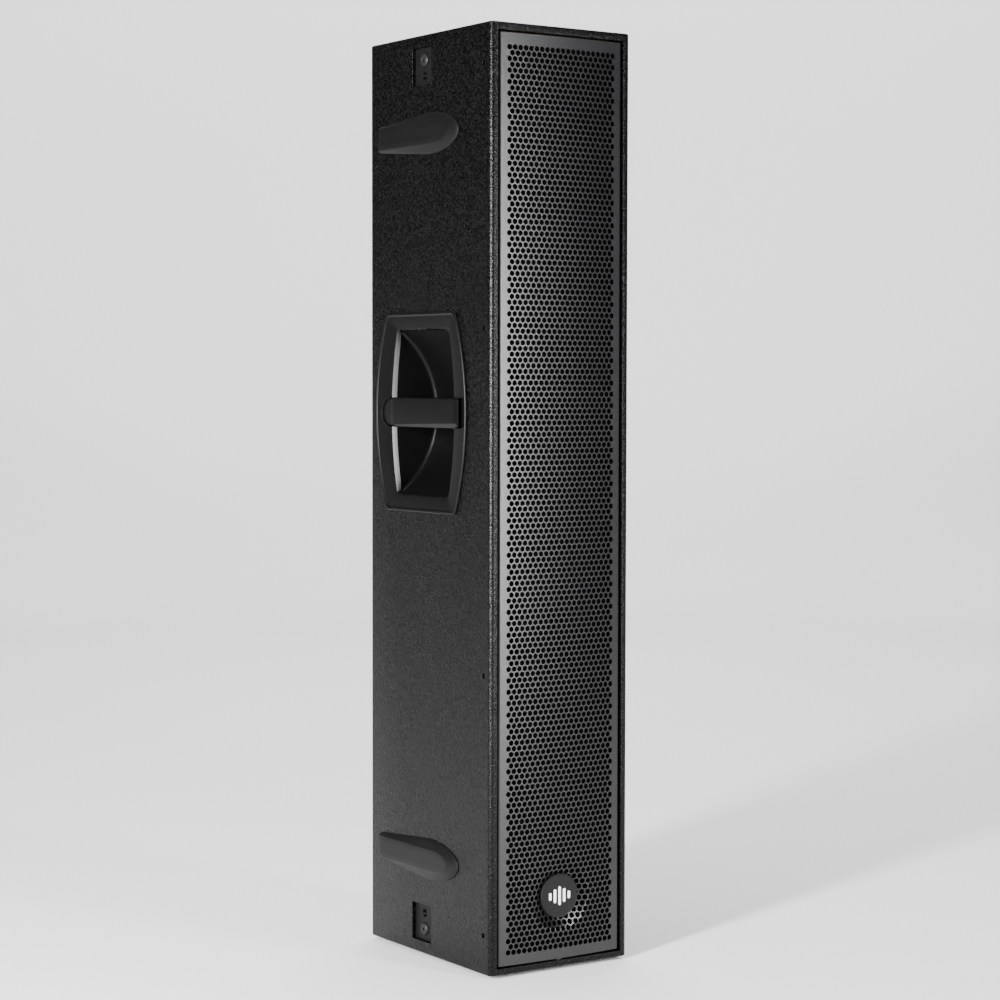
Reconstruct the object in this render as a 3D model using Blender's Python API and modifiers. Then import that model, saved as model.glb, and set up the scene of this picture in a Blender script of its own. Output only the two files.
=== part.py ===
"""Line array column loudspeaker: a narrow plywood cabinet with its drivers, amplifier and fittings.

Metres, +Z up. The front faces -Y, and the origin is on the ground under the middle of the object.
"left" is the -X side. Each sub-part is one object. Moving pieces have their origin on their joint's axis.
"""
import math

import bmesh
import bpy
from mathutils import Matrix

GAP = 0.0003                    # between pieces that touch

# Cabinet of 12 mm birch plywood, butt jointed, with rounded front corners
CABINET_WIDTH = 0.195
CABINET_DEPTH = 0.262
CABINET_HEIGHT = 1.086
PLY = 0.012
FRONT_CORNER_RADIUS = 0.006
FRONT_CORNER_SEGMENTS = 5
FOOT_HEIGHT = 0.004
FOOT_RADIUS = 0.012
FOOT_X = 0.0665
FOOT_FRONT_INSET = 0.036
FOOT_REAR_INSET = 0.032
FOOT_CHAMFER = (0.0012, 0.001)  # how far the lower edge is cut in, and how high
GRILLE_PROUD = 0.002            # how far the bowed grille stands in front of the cabinet

FRONT_Y = GRILLE_PROUD - (CABINET_DEPTH + GRILLE_PROUD) / 2
BACK_Y = FRONT_Y + CABINET_DEPTH
SIDE_X = CABINET_WIDTH / 2
INNER_X = SIDE_X - PLY
BASE_Z = FOOT_HEIGHT
TOP_Z = BASE_Z + CABINET_HEIGHT
MIDDLE_Z = (BASE_Z + TOP_Z) / 2

# Front baffle, 24 mm behind the front edge of the cabinet
BAFFLE_SETBACK = 0.024
BAFFLE_THICKNESS = 0.015
BAFFLE_Y = FRONT_Y + BAFFLE_SETBACK
WOOFER_HOLE_RADIUS = 0.0705
HORN_HOLE = (0.150, 0.236)
WOOFER_OFFSETS = (0.436, 0.264, -0.264, -0.436)     # woofer centres above the middle of the cabinet

# Brace across the inside, above the handles, with a window in it
BRACE_ABOVE_HANDLE = 0.024
BRACE_FRONT_Y = -0.026
BRACE_WINDOW = (0.052, 0.042)
BRACE_WINDOW_Y = 0.048

# Grille of 1.5 mm steel, bowed across its width, with side flanges
GRILLE_CLEARANCE = 0.0026
GRILLE_SIDE_REBATE = 0.0025      # how far the panels are cut back round the grille
GRILLE_BOTTOM_REBATE = 0.0045
GRILLE_TOP_REBATE = 0.003
GRILLE_REBATE_DEPTH = 0.0215
GRILLE_THICKNESS = 0.0015
GRILLE_EDGE_SETBACK = 0.0015
GRILLE_FLANGE_DEPTH = 0.0185
GRILLE_BOW = GRILLE_EDGE_SETBACK + GRILLE_PROUD
GRILLE_BOW_STEPS = 16
FOAM_FRONT_SETBACK = 0.0038
FOAM_THICKNESS = 0.005
BADGE_RADIUS = 0.026
BADGE_HEIGHT = 0.083            # badge centre above the cabinet's underside
BADGE_THICKNESS = 0.0025
BADGE_SINK = 0.0002             # badge face behind the cabinet's front plane
BADGE_CHAMFER = 0.001

# Grille screws through the side panels into the grille's flanges
SCREW_SETBACK = 0.0145
SCREW_RADIUS = 0.0027
SCREW_SINK = 0.0009
SCREW_SOCKET = (0.0013, 0.002)  # radius and depth of the key socket
SCREW_HEIGHTS = (0.0455, 0.345, 0.741, 1.0405)      # above the cabinet's underside

# Fly points: a threaded plate in a rectangular recess, one near each end of each side
FLY_Y = 0.017
FLY_END_OFFSET = 0.0365
FLY_WIDTH = 0.0414
FLY_TALL = 0.0444
FLY_DEPTH = 0.0047
FLY_PLATE_THICKNESS = 0.006
FLY_THREAD_RADIUS = 0.0048
FLY_THREAD_OFFSET = 0.0109      # from the recess's centre towards the middle of the cabinet
FLY_SPACING = 0.019             # from the open thread to the screw
FLY_SCREW_RADIUS = 0.0075
FLY_SCREW_HEIGHT = 0.0025       # top of the screw's head above the plate
FLY_SCREW_CHAMFER = 0.001
FLY_SEAT_DEPTH = 0.0012         # the head stands in a shallow seat cut in the plate
FLY_SOCKET = (0.002, 0.0015)    # radius and depth of the key socket

# Skids: moulded rubber tongues on the sides, for laying the cabinet down
SKID_END_OFFSET = 0.1157
SKID_BACK_Y = 0.115
SKID_WIDE_Y = 0.0
SKID_TIP_Y = -0.0635
SKID_BACK_HALF = 0.016
SKID_WIDE_HALF = 0.0243
SKID_HEIGHT = 0.0055
SKID_EDGE_HEIGHT = 0.0012
SKID_TOP_EDGE = 0.0006
SKID_PLATEAU = (0.1125, -0.015, -0.046, 0.0122, 0.0128)     # back, widest and tip Y, half heights there

# Pocket handles: a moulding with a barrel-shaped mouth and a curved floor, and a grip bar across it
HANDLE_Z = 0.648
FLANGE_Y = 0.0190
FLANGE_HALF_HEIGHT = 0.1182
FLANGE_HALF_END = 0.0762
FLANGE_HALF_MIDDLE = 0.1002
FLANGE_THICKNESS = 0.0025
POCKET_Y = 0.0138
POCKET_HALF_HEIGHT = 0.098
POCKET_HALF_END = 0.056
POCKET_HALF_MIDDLE = 0.0683
POCKET_HALF_FLOOR = 0.0552      # the walls draft in to straight edges along the floor
POCKET_WALL = 0.003
POCKET_DEPTH = 0.055
POCKET_FLOOR_RADIUS = 0.1171
POCKET_FLOOR_STEPS = 96
GRIP_TALL = 0.035
GRIP_INNER_DEPTH = 0.018        # how far the bar reaches in behind the panel's face
GRIP_LAP_THICKNESS = 0.002
GRIP_FRONT_Y = -0.071
GRIP_REAR_Y = 0.0995
GRIP_EDGE_RADIUS = 0.007
GRIP_PROUD = 0.0008             # how far the bar's back reaches into the lap plate

# Woofers, turned about their own axis: radius and distance behind the baffle's face
WOOFER_FLANGE_RADIUS = 0.0825
WOOFER_FLANGE = 0.003
CONE_FRONT = 0.0015             # top of the cone's roll surround in front of the baffle

# Horn and compression driver at the middle of the baffle
HORN_FLANGE = (0.082, 0.1225)
HORN_THROAT_Y = -0.0265
DRIVER_RADIUS = 0.042
DRIVER_DEPTH = 0.056

# Amplifier module in the lower part of the back
AMPLIFIER_LOW = 0.110
AMPLIFIER_HIGH = 0.400
AMPLIFIER_LAP = 0.010           # how far the panel reaches behind the plywood
AMPLIFIER_PLATE = 0.003
PLATE_Y = BACK_Y - PLY - GAP    # outer face of the amplifier panel
CHASSIS_FRONT_Y = 0.050
CHASSIS_WALL = 0.0015
CHASSIS_HALF_WIDTH = 0.074
CHASSIS_LOW = 0.130
CHASSIS_HIGH = 0.385
HEATSINK_HALF_WIDTH = 0.070
HEATSINK_LOW = 0.258
HEATSINK_HIGH = 0.388
HEATSINK_BASE = 0.0025
HEATSINK_DEPTH = 0.0112
FIN_COUNT = 13
FIN_THICKNESS = 0.0024
SOCKET_X = 0.050
SOCKET_HIGH_Z = 0.219
SOCKET_LOW_Z = 0.166
SOCKET_FLANGE = (0.026, 0.031, 0.0022)
SOCKET_BODY_RADIUS = 0.0118
SOCKET_BODY_DEPTH = 0.022
SOCKET_BORE_RADIUS = 0.0096
PANEL_HOLE_RADIUS = 0.0123
SOCKET_CORE_RADIUS = 0.0072
PIN_RADIUS = 0.0012
CONTACT_HOLE_RADIUS = 0.0013
PIN_POSITIONS = ((-0.0035, 0.0020), (0.0035, 0.0020), (0.0, -0.00405))
LATCH_SIZE = (0.006, 0.003)
LATCH_OFFSET = 0.0116
LATCH_CLEARANCE = 0.0007
LATCH_REACH = (-0.0095, 0.0058)
INLET_CORE_RADIUS = 0.0062
KNOB_Z = 0.224
KNOB_RADIUS = 0.009
KNOB_FACE = 0.0108
KNOB_SHAFT_RADIUS = 0.003
KNOB_SHAFT_END = -0.018
BUTTON_Z = 0.186
BUTTON_RADIUS = 0.004
BUTTON_FACE = 0.0026
ROCKER_HALF_HEIGHT = 0.0095
ROCKER_WIDTH = 0.0118
ROCKER_PIVOT_Y = 0.1172
ROCKER_REST_DEG = 8.0
ROCKER_CLEARANCE = 0.0008

# Pole socket in the cabinet's underside
POLE_Y = 0.010
POLE_RADIUS = 0.018
POLE_DEPTH = 0.0865
POLE_WALL = 0.004
POLE_FLANGE_RADIUS = 0.034
POLE_FLANGE_THICKNESS = 0.0025

THROUGH = 0.03                  # a cutter's reach past what it cuts
ROUND_STEPS = 24
SMALL_STEPS = 16
FINE_STEPS = 12

# Turn local Z to face the front, the back, or a side
FACING_FRONT = (math.radians(90), 0.0, 0.0)
FACING_BACK = (math.radians(90), 0.0, math.radians(180))
FACING_SIDE = {-1: (math.radians(90), 0.0, math.radians(-90)), 1: (math.radians(90), 0.0, math.radians(90))}
SIDE_NAMES = {-1: "left", 1: "right"}

# Colour, roughness and metallic value of each finish
FINISHES = {
    "textured_paint": ((0.012, 0.012, 0.013), 0.75, 0.0),
    "bare_plywood": ((0.42, 0.28, 0.16), 0.7, 0.0),
    "black_steel": ((0.018, 0.018, 0.020), 0.45, 0.9),
    "zinc_steel": ((0.32, 0.33, 0.34), 0.35, 1.0),
    "cast_metal": ((0.030, 0.030, 0.032), 0.5, 0.8),
    "black_plastic": ((0.014, 0.014, 0.015), 0.42, 0.0),
    "black_rubber": ((0.013, 0.013, 0.013), 0.7, 0.0),
    "open_foam": ((0.008, 0.008, 0.008), 0.95, 0.0),
    "treated_paper": ((0.020, 0.020, 0.020), 0.85, 0.0),
    "blue_plastic": ((0.015, 0.060, 0.30), 0.4, 0.0),
    "black_aluminium": ((0.022, 0.022, 0.024), 0.5, 0.7),
}


def clear_scene():
    """Start from an empty file."""
    for item in list(bpy.data.objects):
        bpy.data.objects.remove(item, do_unlink=True)


def make_collection(name):
    """Link a new collection to the scene."""
    collection = bpy.data.collections.new(name)
    bpy.context.scene.collection.children.link(collection)
    return collection


def finish_material(name, finish):
    """One Principled material for one sub-part."""
    colour, roughness, metallic = FINISHES[finish]
    material = bpy.data.materials.new(name + "_" + finish)
    material.use_nodes = True
    shader = material.node_tree.nodes["Principled BSDF"]
    shader.inputs["Base Color"].default_value = (*colour, 1.0)
    shader.inputs["Roughness"].default_value = roughness
    shader.inputs["Metallic"].default_value = metallic
    return material


def add_part(name, mesh, finish, location=(0, 0, 0), rotation=(0, 0, 0)):
    """Place a sub-part and give it its own material."""
    part = bpy.data.objects.new(name, mesh)
    part.location = location
    part.rotation_euler = rotation
    mesh.materials.clear()
    mesh.materials.append(finish_material(name, finish))
    parts.objects.link(part)
    return part


def add_cutter(name, mesh, location=(0, 0, 0), rotation=(0, 0, 0)):
    """Place a shape that only takes part in a Boolean."""
    cutter = bpy.data.objects.new(name, mesh)
    cutter.location = location
    cutter.rotation_euler = rotation
    cutter.hide_render = True
    cutter.display_type = "WIRE"
    cutters.objects.link(cutter)
    return cutter


def combine(part, other, operation):
    """Cut, join or intersect a part with another shape."""
    boolean = part.modifiers.new(operation.lower() + "_" + other.name, "BOOLEAN")
    boolean.operation = operation
    boolean.solver = "EXACT"
    boolean.object = other


def bevel(part, width, segments, angle_deg=40):
    """Round the edges that are sharper than the angle."""
    rounding = part.modifiers.new("rounded_edges", "BEVEL")
    rounding.width = width
    rounding.segments = segments
    rounding.limit_method = "ANGLE"
    rounding.angle_limit = math.radians(angle_deg)


def smooth(mesh, angle_deg=35):
    """Smooth shading, with the real edges kept sharp."""
    mesh.shade_smooth()
    mesh.set_sharp_from_angle(angle=math.radians(angle_deg))


def box_mesh(name, low, high):
    """A box between two corners."""
    form = bmesh.new()
    bmesh.ops.create_cube(form, size=1.0)
    size = [high[i] - low[i] for i in range(3)]
    middle = [(high[i] + low[i]) / 2 for i in range(3)]
    place = Matrix.Translation(middle) @ Matrix.Diagonal((*size, 1.0))
    bmesh.ops.transform(form, matrix=place, verts=form.verts)
    mesh = bpy.data.meshes.new(name)
    form.to_mesh(mesh)
    form.free()
    return mesh


def round_box_edges(mesh, chosen, radius, segments):
    """Round only the edges whose two ends both pass the test."""
    form = bmesh.new()
    form.from_mesh(mesh)
    edges = [edge for edge in form.edges if all(chosen(vert.co) for vert in edge.verts)]
    bmesh.ops.bevel(form, geom=edges, offset=radius, segments=segments, profile=0.5, affect="EDGES")
    form.to_mesh(mesh)
    form.free()


def cylinder_mesh(name, radius, low, high, steps=SMALL_STEPS):
    """A cylinder about local Z between two heights."""
    form = bmesh.new()
    bmesh.ops.create_cone(form, cap_ends=True, segments=steps, radius1=radius, radius2=radius, depth=high - low)
    bmesh.ops.translate(form, vec=(0, 0, (low + high) / 2), verts=form.verts)
    mesh = bpy.data.meshes.new(name)
    form.to_mesh(mesh)
    form.free()
    smooth(mesh)
    return mesh


def plate_mesh(name, outline, low, high):
    """A flat outline in local XY, filled and given a thickness from low to high."""
    curve = bpy.data.curves.new(name, "CURVE")
    curve.dimensions = "2D"
    curve.fill_mode = "BOTH"
    curve.extrude = (high - low) / 2
    spline = curve.splines.new("POLY")
    spline.points.add(len(outline) - 1)
    for point, (across, up) in zip(spline.points, outline):
        point.co = (across, up, 0, 1)
    spline.use_cyclic_u = True
    holder = bpy.data.objects.new(name, curve)
    bpy.context.scene.collection.objects.link(holder)
    bpy.context.view_layer.update()
    evaluated = holder.evaluated_get(bpy.context.evaluated_depsgraph_get())
    mesh = bpy.data.meshes.new_from_object(evaluated)
    bpy.data.objects.remove(holder, do_unlink=True)
    form = bmesh.new()
    form.from_mesh(mesh)
    bmesh.ops.remove_doubles(form, verts=form.verts, dist=0.00001)
    bmesh.ops.translate(form, vec=(0, 0, (low + high) / 2), verts=form.verts)
    bmesh.ops.recalc_face_normals(form, faces=form.faces)
    form.to_mesh(mesh)
    form.free()
    return mesh


def profile_mesh(name, points, closed):
    """The edges of a turned profile, in local XZ at +X."""
    count = len(points)
    edges = [(i, i + 1) for i in range(count - 1)]
    if closed:
        edges.append((count - 1, 0))
    mesh = bpy.data.meshes.new(name)
    mesh.from_pydata([(radius, 0, height) for radius, height in points], edges, [])
    return mesh


def turn(part, steps=ROUND_STEPS):
    """Turn a profile about local Z."""
    screw = part.modifiers.new("turned", "SCREW")
    screw.axis = "Z"
    screw.steps = steps
    screw.render_steps = steps
    screw.use_merge_vertices = True
    screw.merge_threshold = 0.00001
    screw.use_smooth_shade = True


def loft_mesh(name, rings, closed_tube):
    """Skin rings of equal point counts; a tube joins its last ring to its first, others are capped."""
    count = len(rings[0])
    points = [point for ring in rings for point in ring]
    faces = []
    spans = len(rings) if closed_tube else len(rings) - 1
    for span in range(spans):
        first = span * count
        second = (span + 1) % len(rings) * count
        for i in range(count):
            j = (i + 1) % count
            faces.append((first + i, first + j, second + j, second + i))
    if not closed_tube:
        faces.append(tuple(range(count)))
        faces.append(tuple(range((len(rings) - 1) * count, len(rings) * count)))
    mesh = bpy.data.meshes.new(name)
    mesh.from_pydata(points, [], faces)
    form = bmesh.new()
    form.from_mesh(mesh)
    bmesh.ops.recalc_face_normals(form, faces=form.faces)
    form.to_mesh(mesh)
    form.free()
    smooth(mesh)
    return mesh


def barrel_outline(half_height, half_end, half_middle, steps=12):
    """Straight top and bottom, with the two sides bowed outwards as arcs."""
    bow = half_middle - half_end
    radius = (half_height ** 2 + bow ** 2) / (2 * bow)
    reach = math.asin(half_height / radius)
    arc = []
    for i in range(steps + 1):
        angle = -reach + 2 * reach * i / steps
        arc.append((half_middle - radius + radius * math.cos(angle), radius * math.sin(angle)))
    return arc + [(-across, -up) for across, up in arc]


def tongue_outline(back, wide, tip, half_back, half_wide, steps=14):
    """A straight-cut back end that widens forwards to a half-elliptical tip."""
    outline = [(back, -half_back)]
    for i in range(steps + 1):
        angle = -math.pi / 2 - math.pi * i / steps
        outline.append((wide + (wide - tip) * math.cos(angle), half_wide * math.sin(angle)))
    outline.append((back, half_back))
    return outline


def soft_rectangle(half_x, half_z, power, steps=32):
    """A superellipse: a circle at power 2, nearly a rectangle at high powers."""
    outline = []
    for i in range(steps):
        angle = 2 * math.pi * i / steps
        cosine = math.cos(angle)
        sine = math.sin(angle)
        across = math.copysign(abs(cosine) ** (2 / power), cosine) * half_x
        up = math.copysign(abs(sine) ** (2 / power), sine) * half_z
        outline.append((across, up))
    return outline


def rectangle(width, height):
    """The four corners of a centred rectangle."""
    across = width / 2
    up = height / 2
    return [(-across, -up), (across, -up), (across, up), (-across, up)]


def end_heights(offset):
    """The same distance in from the top and from the bottom of the cabinet, with the way to its middle."""
    return (("upper", TOP_Z - offset, -1), ("lower", BASE_Z + offset, 1))


def side_prism(name, side, outline, centre_y, centre_z, low, high):
    """A cutter through a side: its outline lies in the side's plane, low and high are outwards from it."""
    turned = [(across * side, up) for across, up in outline]
    return add_cutter(name, plate_mesh(name, turned, low, high), (side * SIDE_X, centre_y, centre_z),
                      FACING_SIDE[side])


def cut_grille_rebate(panel):
    """Cut the shallow step that gives the grille room inside the cabinet's front frame."""
    reach = INNER_X + GRILLE_SIDE_REBATE
    low = (-reach, FRONT_Y - PLY, BASE_Z + PLY - GRILLE_BOTTOM_REBATE)
    high = (reach, FRONT_Y + GRILLE_REBATE_DEPTH, TOP_Z - PLY + GRILLE_TOP_REBATE)
    name = panel.name + "_rebate"
    combine(panel, add_cutter(name, box_mesh(name, low, high)), "DIFFERENCE")


def build_side_panel(side):
    """Plywood side, rounded down its front edge, with the handle, fly point and screw holes."""
    name = SIDE_NAMES[side] + "_side_panel"
    low = (min(side * SIDE_X, side * INNER_X), FRONT_Y, BASE_Z)
    high = (max(side * SIDE_X, side * INNER_X), BACK_Y, TOP_Z)
    mesh = box_mesh(name, low, high)
    round_box_edges(mesh, lambda co: abs(co.x) > SIDE_X - GAP and co.y < FRONT_Y + GAP, FRONT_CORNER_RADIUS,
                    FRONT_CORNER_SEGMENTS)
    panel = add_part(name, mesh, "textured_paint")
    cut_grille_rebate(panel)
    clearance = POCKET_WALL + 2 * GAP
    hole = barrel_outline(POCKET_HALF_HEIGHT + clearance, POCKET_HALF_END + clearance,
                          POCKET_HALF_MIDDLE + clearance)
    cutter = side_prism(name + "_handle_hole", side, hole, POCKET_Y, HANDLE_Z, -2 * PLY, PLY)
    combine(panel, cutter, "DIFFERENCE")
    for end, height, _ in end_heights(FLY_END_OFFSET):
        cutter = side_prism(name + "_fly_hole_" + end, side, rectangle(FLY_WIDTH, FLY_TALL), FLY_Y, height,
                            -2 * PLY, PLY)
        combine(panel, cutter, "DIFFERENCE")
    for index, height in enumerate(SCREW_HEIGHTS):
        mesh = cylinder_mesh(name + "_screw_hole", SCREW_RADIUS + GAP, -2 * PLY, PLY, FINE_STEPS)
        cutter = add_cutter(name + "_screw_hole_" + str(index), mesh,
                            (side * SIDE_X, FRONT_Y + SCREW_SETBACK, BASE_Z + height), FACING_SIDE[side])
        combine(panel, cutter, "DIFFERENCE")


def build_cabinet():
    """The six plywood panels, the baffle and the brace."""
    for side in SIDE_NAMES:
        build_side_panel(side)
    reach = INNER_X - GAP
    mesh = box_mesh("top_panel", (-reach, FRONT_Y, TOP_Z - PLY), (reach, BACK_Y, TOP_Z))
    cut_grille_rebate(add_part("top_panel", mesh, "textured_paint"))
    mesh = box_mesh("bottom_panel", (-reach, FRONT_Y, BASE_Z), (reach, BACK_Y, BASE_Z + PLY))
    bottom = add_part("bottom_panel", mesh, "textured_paint")
    cut_grille_rebate(bottom)
    hole = cylinder_mesh("pole_hole", POLE_RADIUS + POLE_WALL + GAP, -PLY, 2 * PLY, ROUND_STEPS)
    combine(bottom, add_cutter("pole_hole", hole, (0, POLE_Y, BASE_Z)), "DIFFERENCE")
    back_low = BACK_Y - PLY
    mesh = box_mesh("upper_back_panel", (-reach, back_low, AMPLIFIER_HIGH), (reach, BACK_Y, TOP_Z - PLY - GAP))
    add_part("upper_back_panel", mesh, "textured_paint")
    mesh = box_mesh("lower_back_panel", (-reach, back_low, BASE_Z + PLY + GAP), (reach, BACK_Y, AMPLIFIER_LOW))
    add_part("lower_back_panel", mesh, "textured_paint")
    low = (-reach, BAFFLE_Y, BASE_Z + PLY + GAP)
    high = (reach, BAFFLE_Y + BAFFLE_THICKNESS, TOP_Z - PLY - GAP)
    baffle = add_part("front_baffle", box_mesh("front_baffle", low, high), "bare_plywood")
    for index, offset in enumerate(WOOFER_OFFSETS):
        hole = cylinder_mesh("woofer_hole", WOOFER_HOLE_RADIUS, -2 * PLY, 2 * PLY, ROUND_STEPS)
        cutter = add_cutter("woofer_hole_" + str(index), hole, (0, BAFFLE_Y, MIDDLE_Z + offset), FACING_FRONT)
        combine(baffle, cutter, "DIFFERENCE")
    hole = plate_mesh("horn_hole", rectangle(*HORN_HOLE), -2 * PLY, 2 * PLY)
    combine(baffle, add_cutter("horn_hole", hole, (0, BAFFLE_Y, MIDDLE_Z), FACING_FRONT), "DIFFERENCE")
    brace_z = HANDLE_Z + FLANGE_HALF_HEIGHT + BRACE_ABOVE_HANDLE
    low = (-reach, BRACE_FRONT_Y, brace_z - PLY / 2)
    mesh = box_mesh("cabinet_brace", low, (reach, back_low - GAP, brace_z + PLY / 2))
    brace = add_part("cabinet_brace", mesh, "bare_plywood")
    hole = plate_mesh("brace_window", soft_rectangle(*BRACE_WINDOW, 4, ROUND_STEPS), -PLY, PLY)
    combine(brace, add_cutter("brace_window", hole, (0, BRACE_WINDOW_Y, brace_z)), "DIFFERENCE")


def build_feet():
    """Four low rubber discs under the bottom panel."""
    tall = FOOT_HEIGHT - GAP
    inwards, upwards = FOOT_CHAMFER
    profile = [(0, tall), (FOOT_RADIUS, tall), (FOOT_RADIUS, upwards), (FOOT_RADIUS - inwards, 0), (0, 0)]
    for side, side_name in SIDE_NAMES.items():
        for end, centre_y in (("front", FRONT_Y + FOOT_FRONT_INSET), ("rear", BACK_Y - FOOT_REAR_INSET)):
            name = end + "_" + side_name + "_foot"
            place = (side * FOOT_X, centre_y, 0)
            turn(add_part(name, profile_mesh(name, profile, False), "black_rubber", place))


def build_skids():
    """Rubber tongues with bevelled flanks and a flat plateau, two on each side."""
    base = tongue_outline(SKID_BACK_Y, SKID_WIDE_Y, SKID_TIP_Y, SKID_BACK_HALF, SKID_WIDE_HALF)
    plateau = tongue_outline(*SKID_PLATEAU)
    levels = ((base, GAP), (base, SKID_EDGE_HEIGHT), (plateau, SKID_HEIGHT - SKID_TOP_EDGE),
              (plateau, SKID_HEIGHT))
    for side, side_name in SIDE_NAMES.items():
        for end, height, _ in end_heights(SKID_END_OFFSET):
            name = side_name + "_" + end + "_skid"
            rings = [[(side * (SIDE_X + out), along, up) for along, up in outline] for outline, out in levels]
            add_part(name, loft_mesh(name, rings, False), "black_rubber", (0, 0, height))


def pocket_form(name, side, margin, outer):
    """The pocket's space grown by margin: a barrel mouth that drafts in to straight sides, on a round floor."""
    mouth = barrel_outline(POCKET_HALF_HEIGHT + margin, POCKET_HALF_END + margin, POCKET_HALF_MIDDLE + margin)
    floor = [(math.copysign(POCKET_HALF_FLOOR + margin, across), up) for across, up in mouth]
    rings = []
    for outline, out in ((mouth, outer), (mouth, 0), (floor, -POCKET_DEPTH - POCKET_WALL - margin)):
        rings.append([(side * (SIDE_X + out), POCKET_Y + across, HANDLE_Z + up) for across, up in outline])
    form = add_cutter(name, loft_mesh(name, rings, False))
    radius = POCKET_FLOOR_RADIUS + margin
    axis_x = side * (SIDE_X + POCKET_FLOOR_RADIUS - POCKET_DEPTH)
    round_mesh = cylinder_mesh(name + "_floor", radius, -2 * POCKET_HALF_MIDDLE, 2 * POCKET_HALF_MIDDLE,
                               POCKET_FLOOR_STEPS)
    floor_form = add_cutter(name + "_floor", round_mesh, (axis_x, POCKET_Y, HANDLE_Z), FACING_FRONT)
    combine(form, floor_form, "INTERSECT")
    return form


def grip_outline(half):
    """The grip's lap plate: square at the front, a half circle at the rear."""
    centre = GRIP_REAR_Y - half
    outline = [(GRIP_FRONT_Y, -half)]
    for i in range(FINE_STEPS + 1):
        angle = -math.pi / 2 + math.pi * i / FINE_STEPS
        outline.append((centre + half * math.cos(angle), half * math.sin(angle)))
    return outline + [(GRIP_FRONT_Y, half)]


def build_handles():
    """Pocket handle mouldings and their grip bars."""
    flange = barrel_outline(FLANGE_HALF_HEIGHT, FLANGE_HALF_END, FLANGE_HALF_MIDDLE)
    lap_out = FLANGE_THICKNESS + 2 * GAP
    for side, side_name in SIDE_NAMES.items():
        name = side_name + "_handle_cup"
        place = (side * SIDE_X, FLANGE_Y, HANDLE_Z)
        cup = add_part(name, plate_mesh(name, flange, GAP, GAP + FLANGE_THICKNESS), "black_plastic", place,
                       FACING_SIDE[side])
        bevel(cup, 0.0015, 2)
        combine(cup, pocket_form(name + "_shell", side, POCKET_WALL, FLANGE_THICKNESS / 2), "UNION")
        combine(cup, pocket_form(name + "_hollow", side, 0, 2 * FLANGE_THICKNESS), "DIFFERENCE")
        name = side_name + "_handle_grip"
        draft = (POCKET_HALF_MIDDLE - POCKET_HALF_FLOOR) * GRIP_INNER_DEPTH / POCKET_DEPTH
        reach = POCKET_HALF_MIDDLE - draft - 4 * GAP
        half = GRIP_TALL / 2
        outer = SIDE_X + lap_out + GRIP_PROUD
        inner = SIDE_X - GRIP_INNER_DEPTH
        low = (min(side * outer, side * inner), POCKET_Y - reach, HANDLE_Z - half)
        high = (max(side * outer, side * inner), POCKET_Y + reach, HANDLE_Z + half)
        bar_mesh = box_mesh(name + "_bar", low, high)
        round_box_edges(bar_mesh, lambda co: abs(co.x) < SIDE_X, GRIP_EDGE_RADIUS, 4)
        bar = add_cutter(name + "_bar", bar_mesh)
        outline = [(along * side, up) for along, up in grip_outline(half)]
        lap_mesh = plate_mesh(name, outline, lap_out, lap_out + GRIP_LAP_THICKNESS)
        grip = add_part(name, lap_mesh, "black_plastic", (side * SIDE_X, 0, HANDLE_Z), FACING_SIDE[side])
        bevel(grip, 0.0008, 2)
        combine(grip, bar, "UNION")


def build_fly_points():
    """Threaded steel plates at the bottom of the side recesses, each held by one wide screw in a seat."""
    socket_radius, socket_depth = FLY_SOCKET
    face = -FLY_DEPTH - FLY_SEAT_DEPTH + GAP
    top = -FLY_DEPTH + FLY_SCREW_HEIGHT
    profile = [(0, top - socket_depth), (socket_radius, top - socket_depth), (socket_radius, top),
               (FLY_SCREW_RADIUS - FLY_SCREW_CHAMFER, top), (FLY_SCREW_RADIUS, top - FLY_SCREW_CHAMFER),
               (FLY_SCREW_RADIUS, face), (0, face)]
    for side, side_name in SIDE_NAMES.items():
        for end, height, inwards in end_heights(FLY_END_OFFSET):
            name = side_name + "_" + end + "_fly_plate"
            outline = rectangle(FLY_WIDTH - 2 * GAP, FLY_TALL - 2 * GAP)
            place = (side * SIDE_X, FLY_Y, height)
            mesh = plate_mesh(name, outline, -FLY_DEPTH - FLY_PLATE_THICKNESS, -FLY_DEPTH)
            plate = add_part(name, mesh, "black_steel", place, FACING_SIDE[side])
            thread_z = height + inwards * FLY_THREAD_OFFSET
            screw_z = thread_z - inwards * FLY_SPACING
            mesh = cylinder_mesh(name + "_thread", FLY_THREAD_RADIUS, -THROUGH, THROUGH, ROUND_STEPS)
            thread = add_cutter(name + "_thread", mesh, (side * SIDE_X, FLY_Y, thread_z), FACING_SIDE[side])
            combine(plate, thread, "DIFFERENCE")
            mesh = cylinder_mesh(name + "_seat", FLY_SCREW_RADIUS + 2 * GAP, -FLY_DEPTH - FLY_SEAT_DEPTH, 0,
                                 ROUND_STEPS)
            seat = add_cutter(name + "_seat", mesh, (side * SIDE_X, FLY_Y, screw_z), FACING_SIDE[side])
            combine(plate, seat, "DIFFERENCE")
            name = side_name + "_" + end + "_fly_screw"
            screw = add_part(name, profile_mesh(name, profile, False), "zinc_steel",
                             (side * SIDE_X, FLY_Y, screw_z), FACING_SIDE[side])
            turn(screw, SMALL_STEPS)


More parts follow.
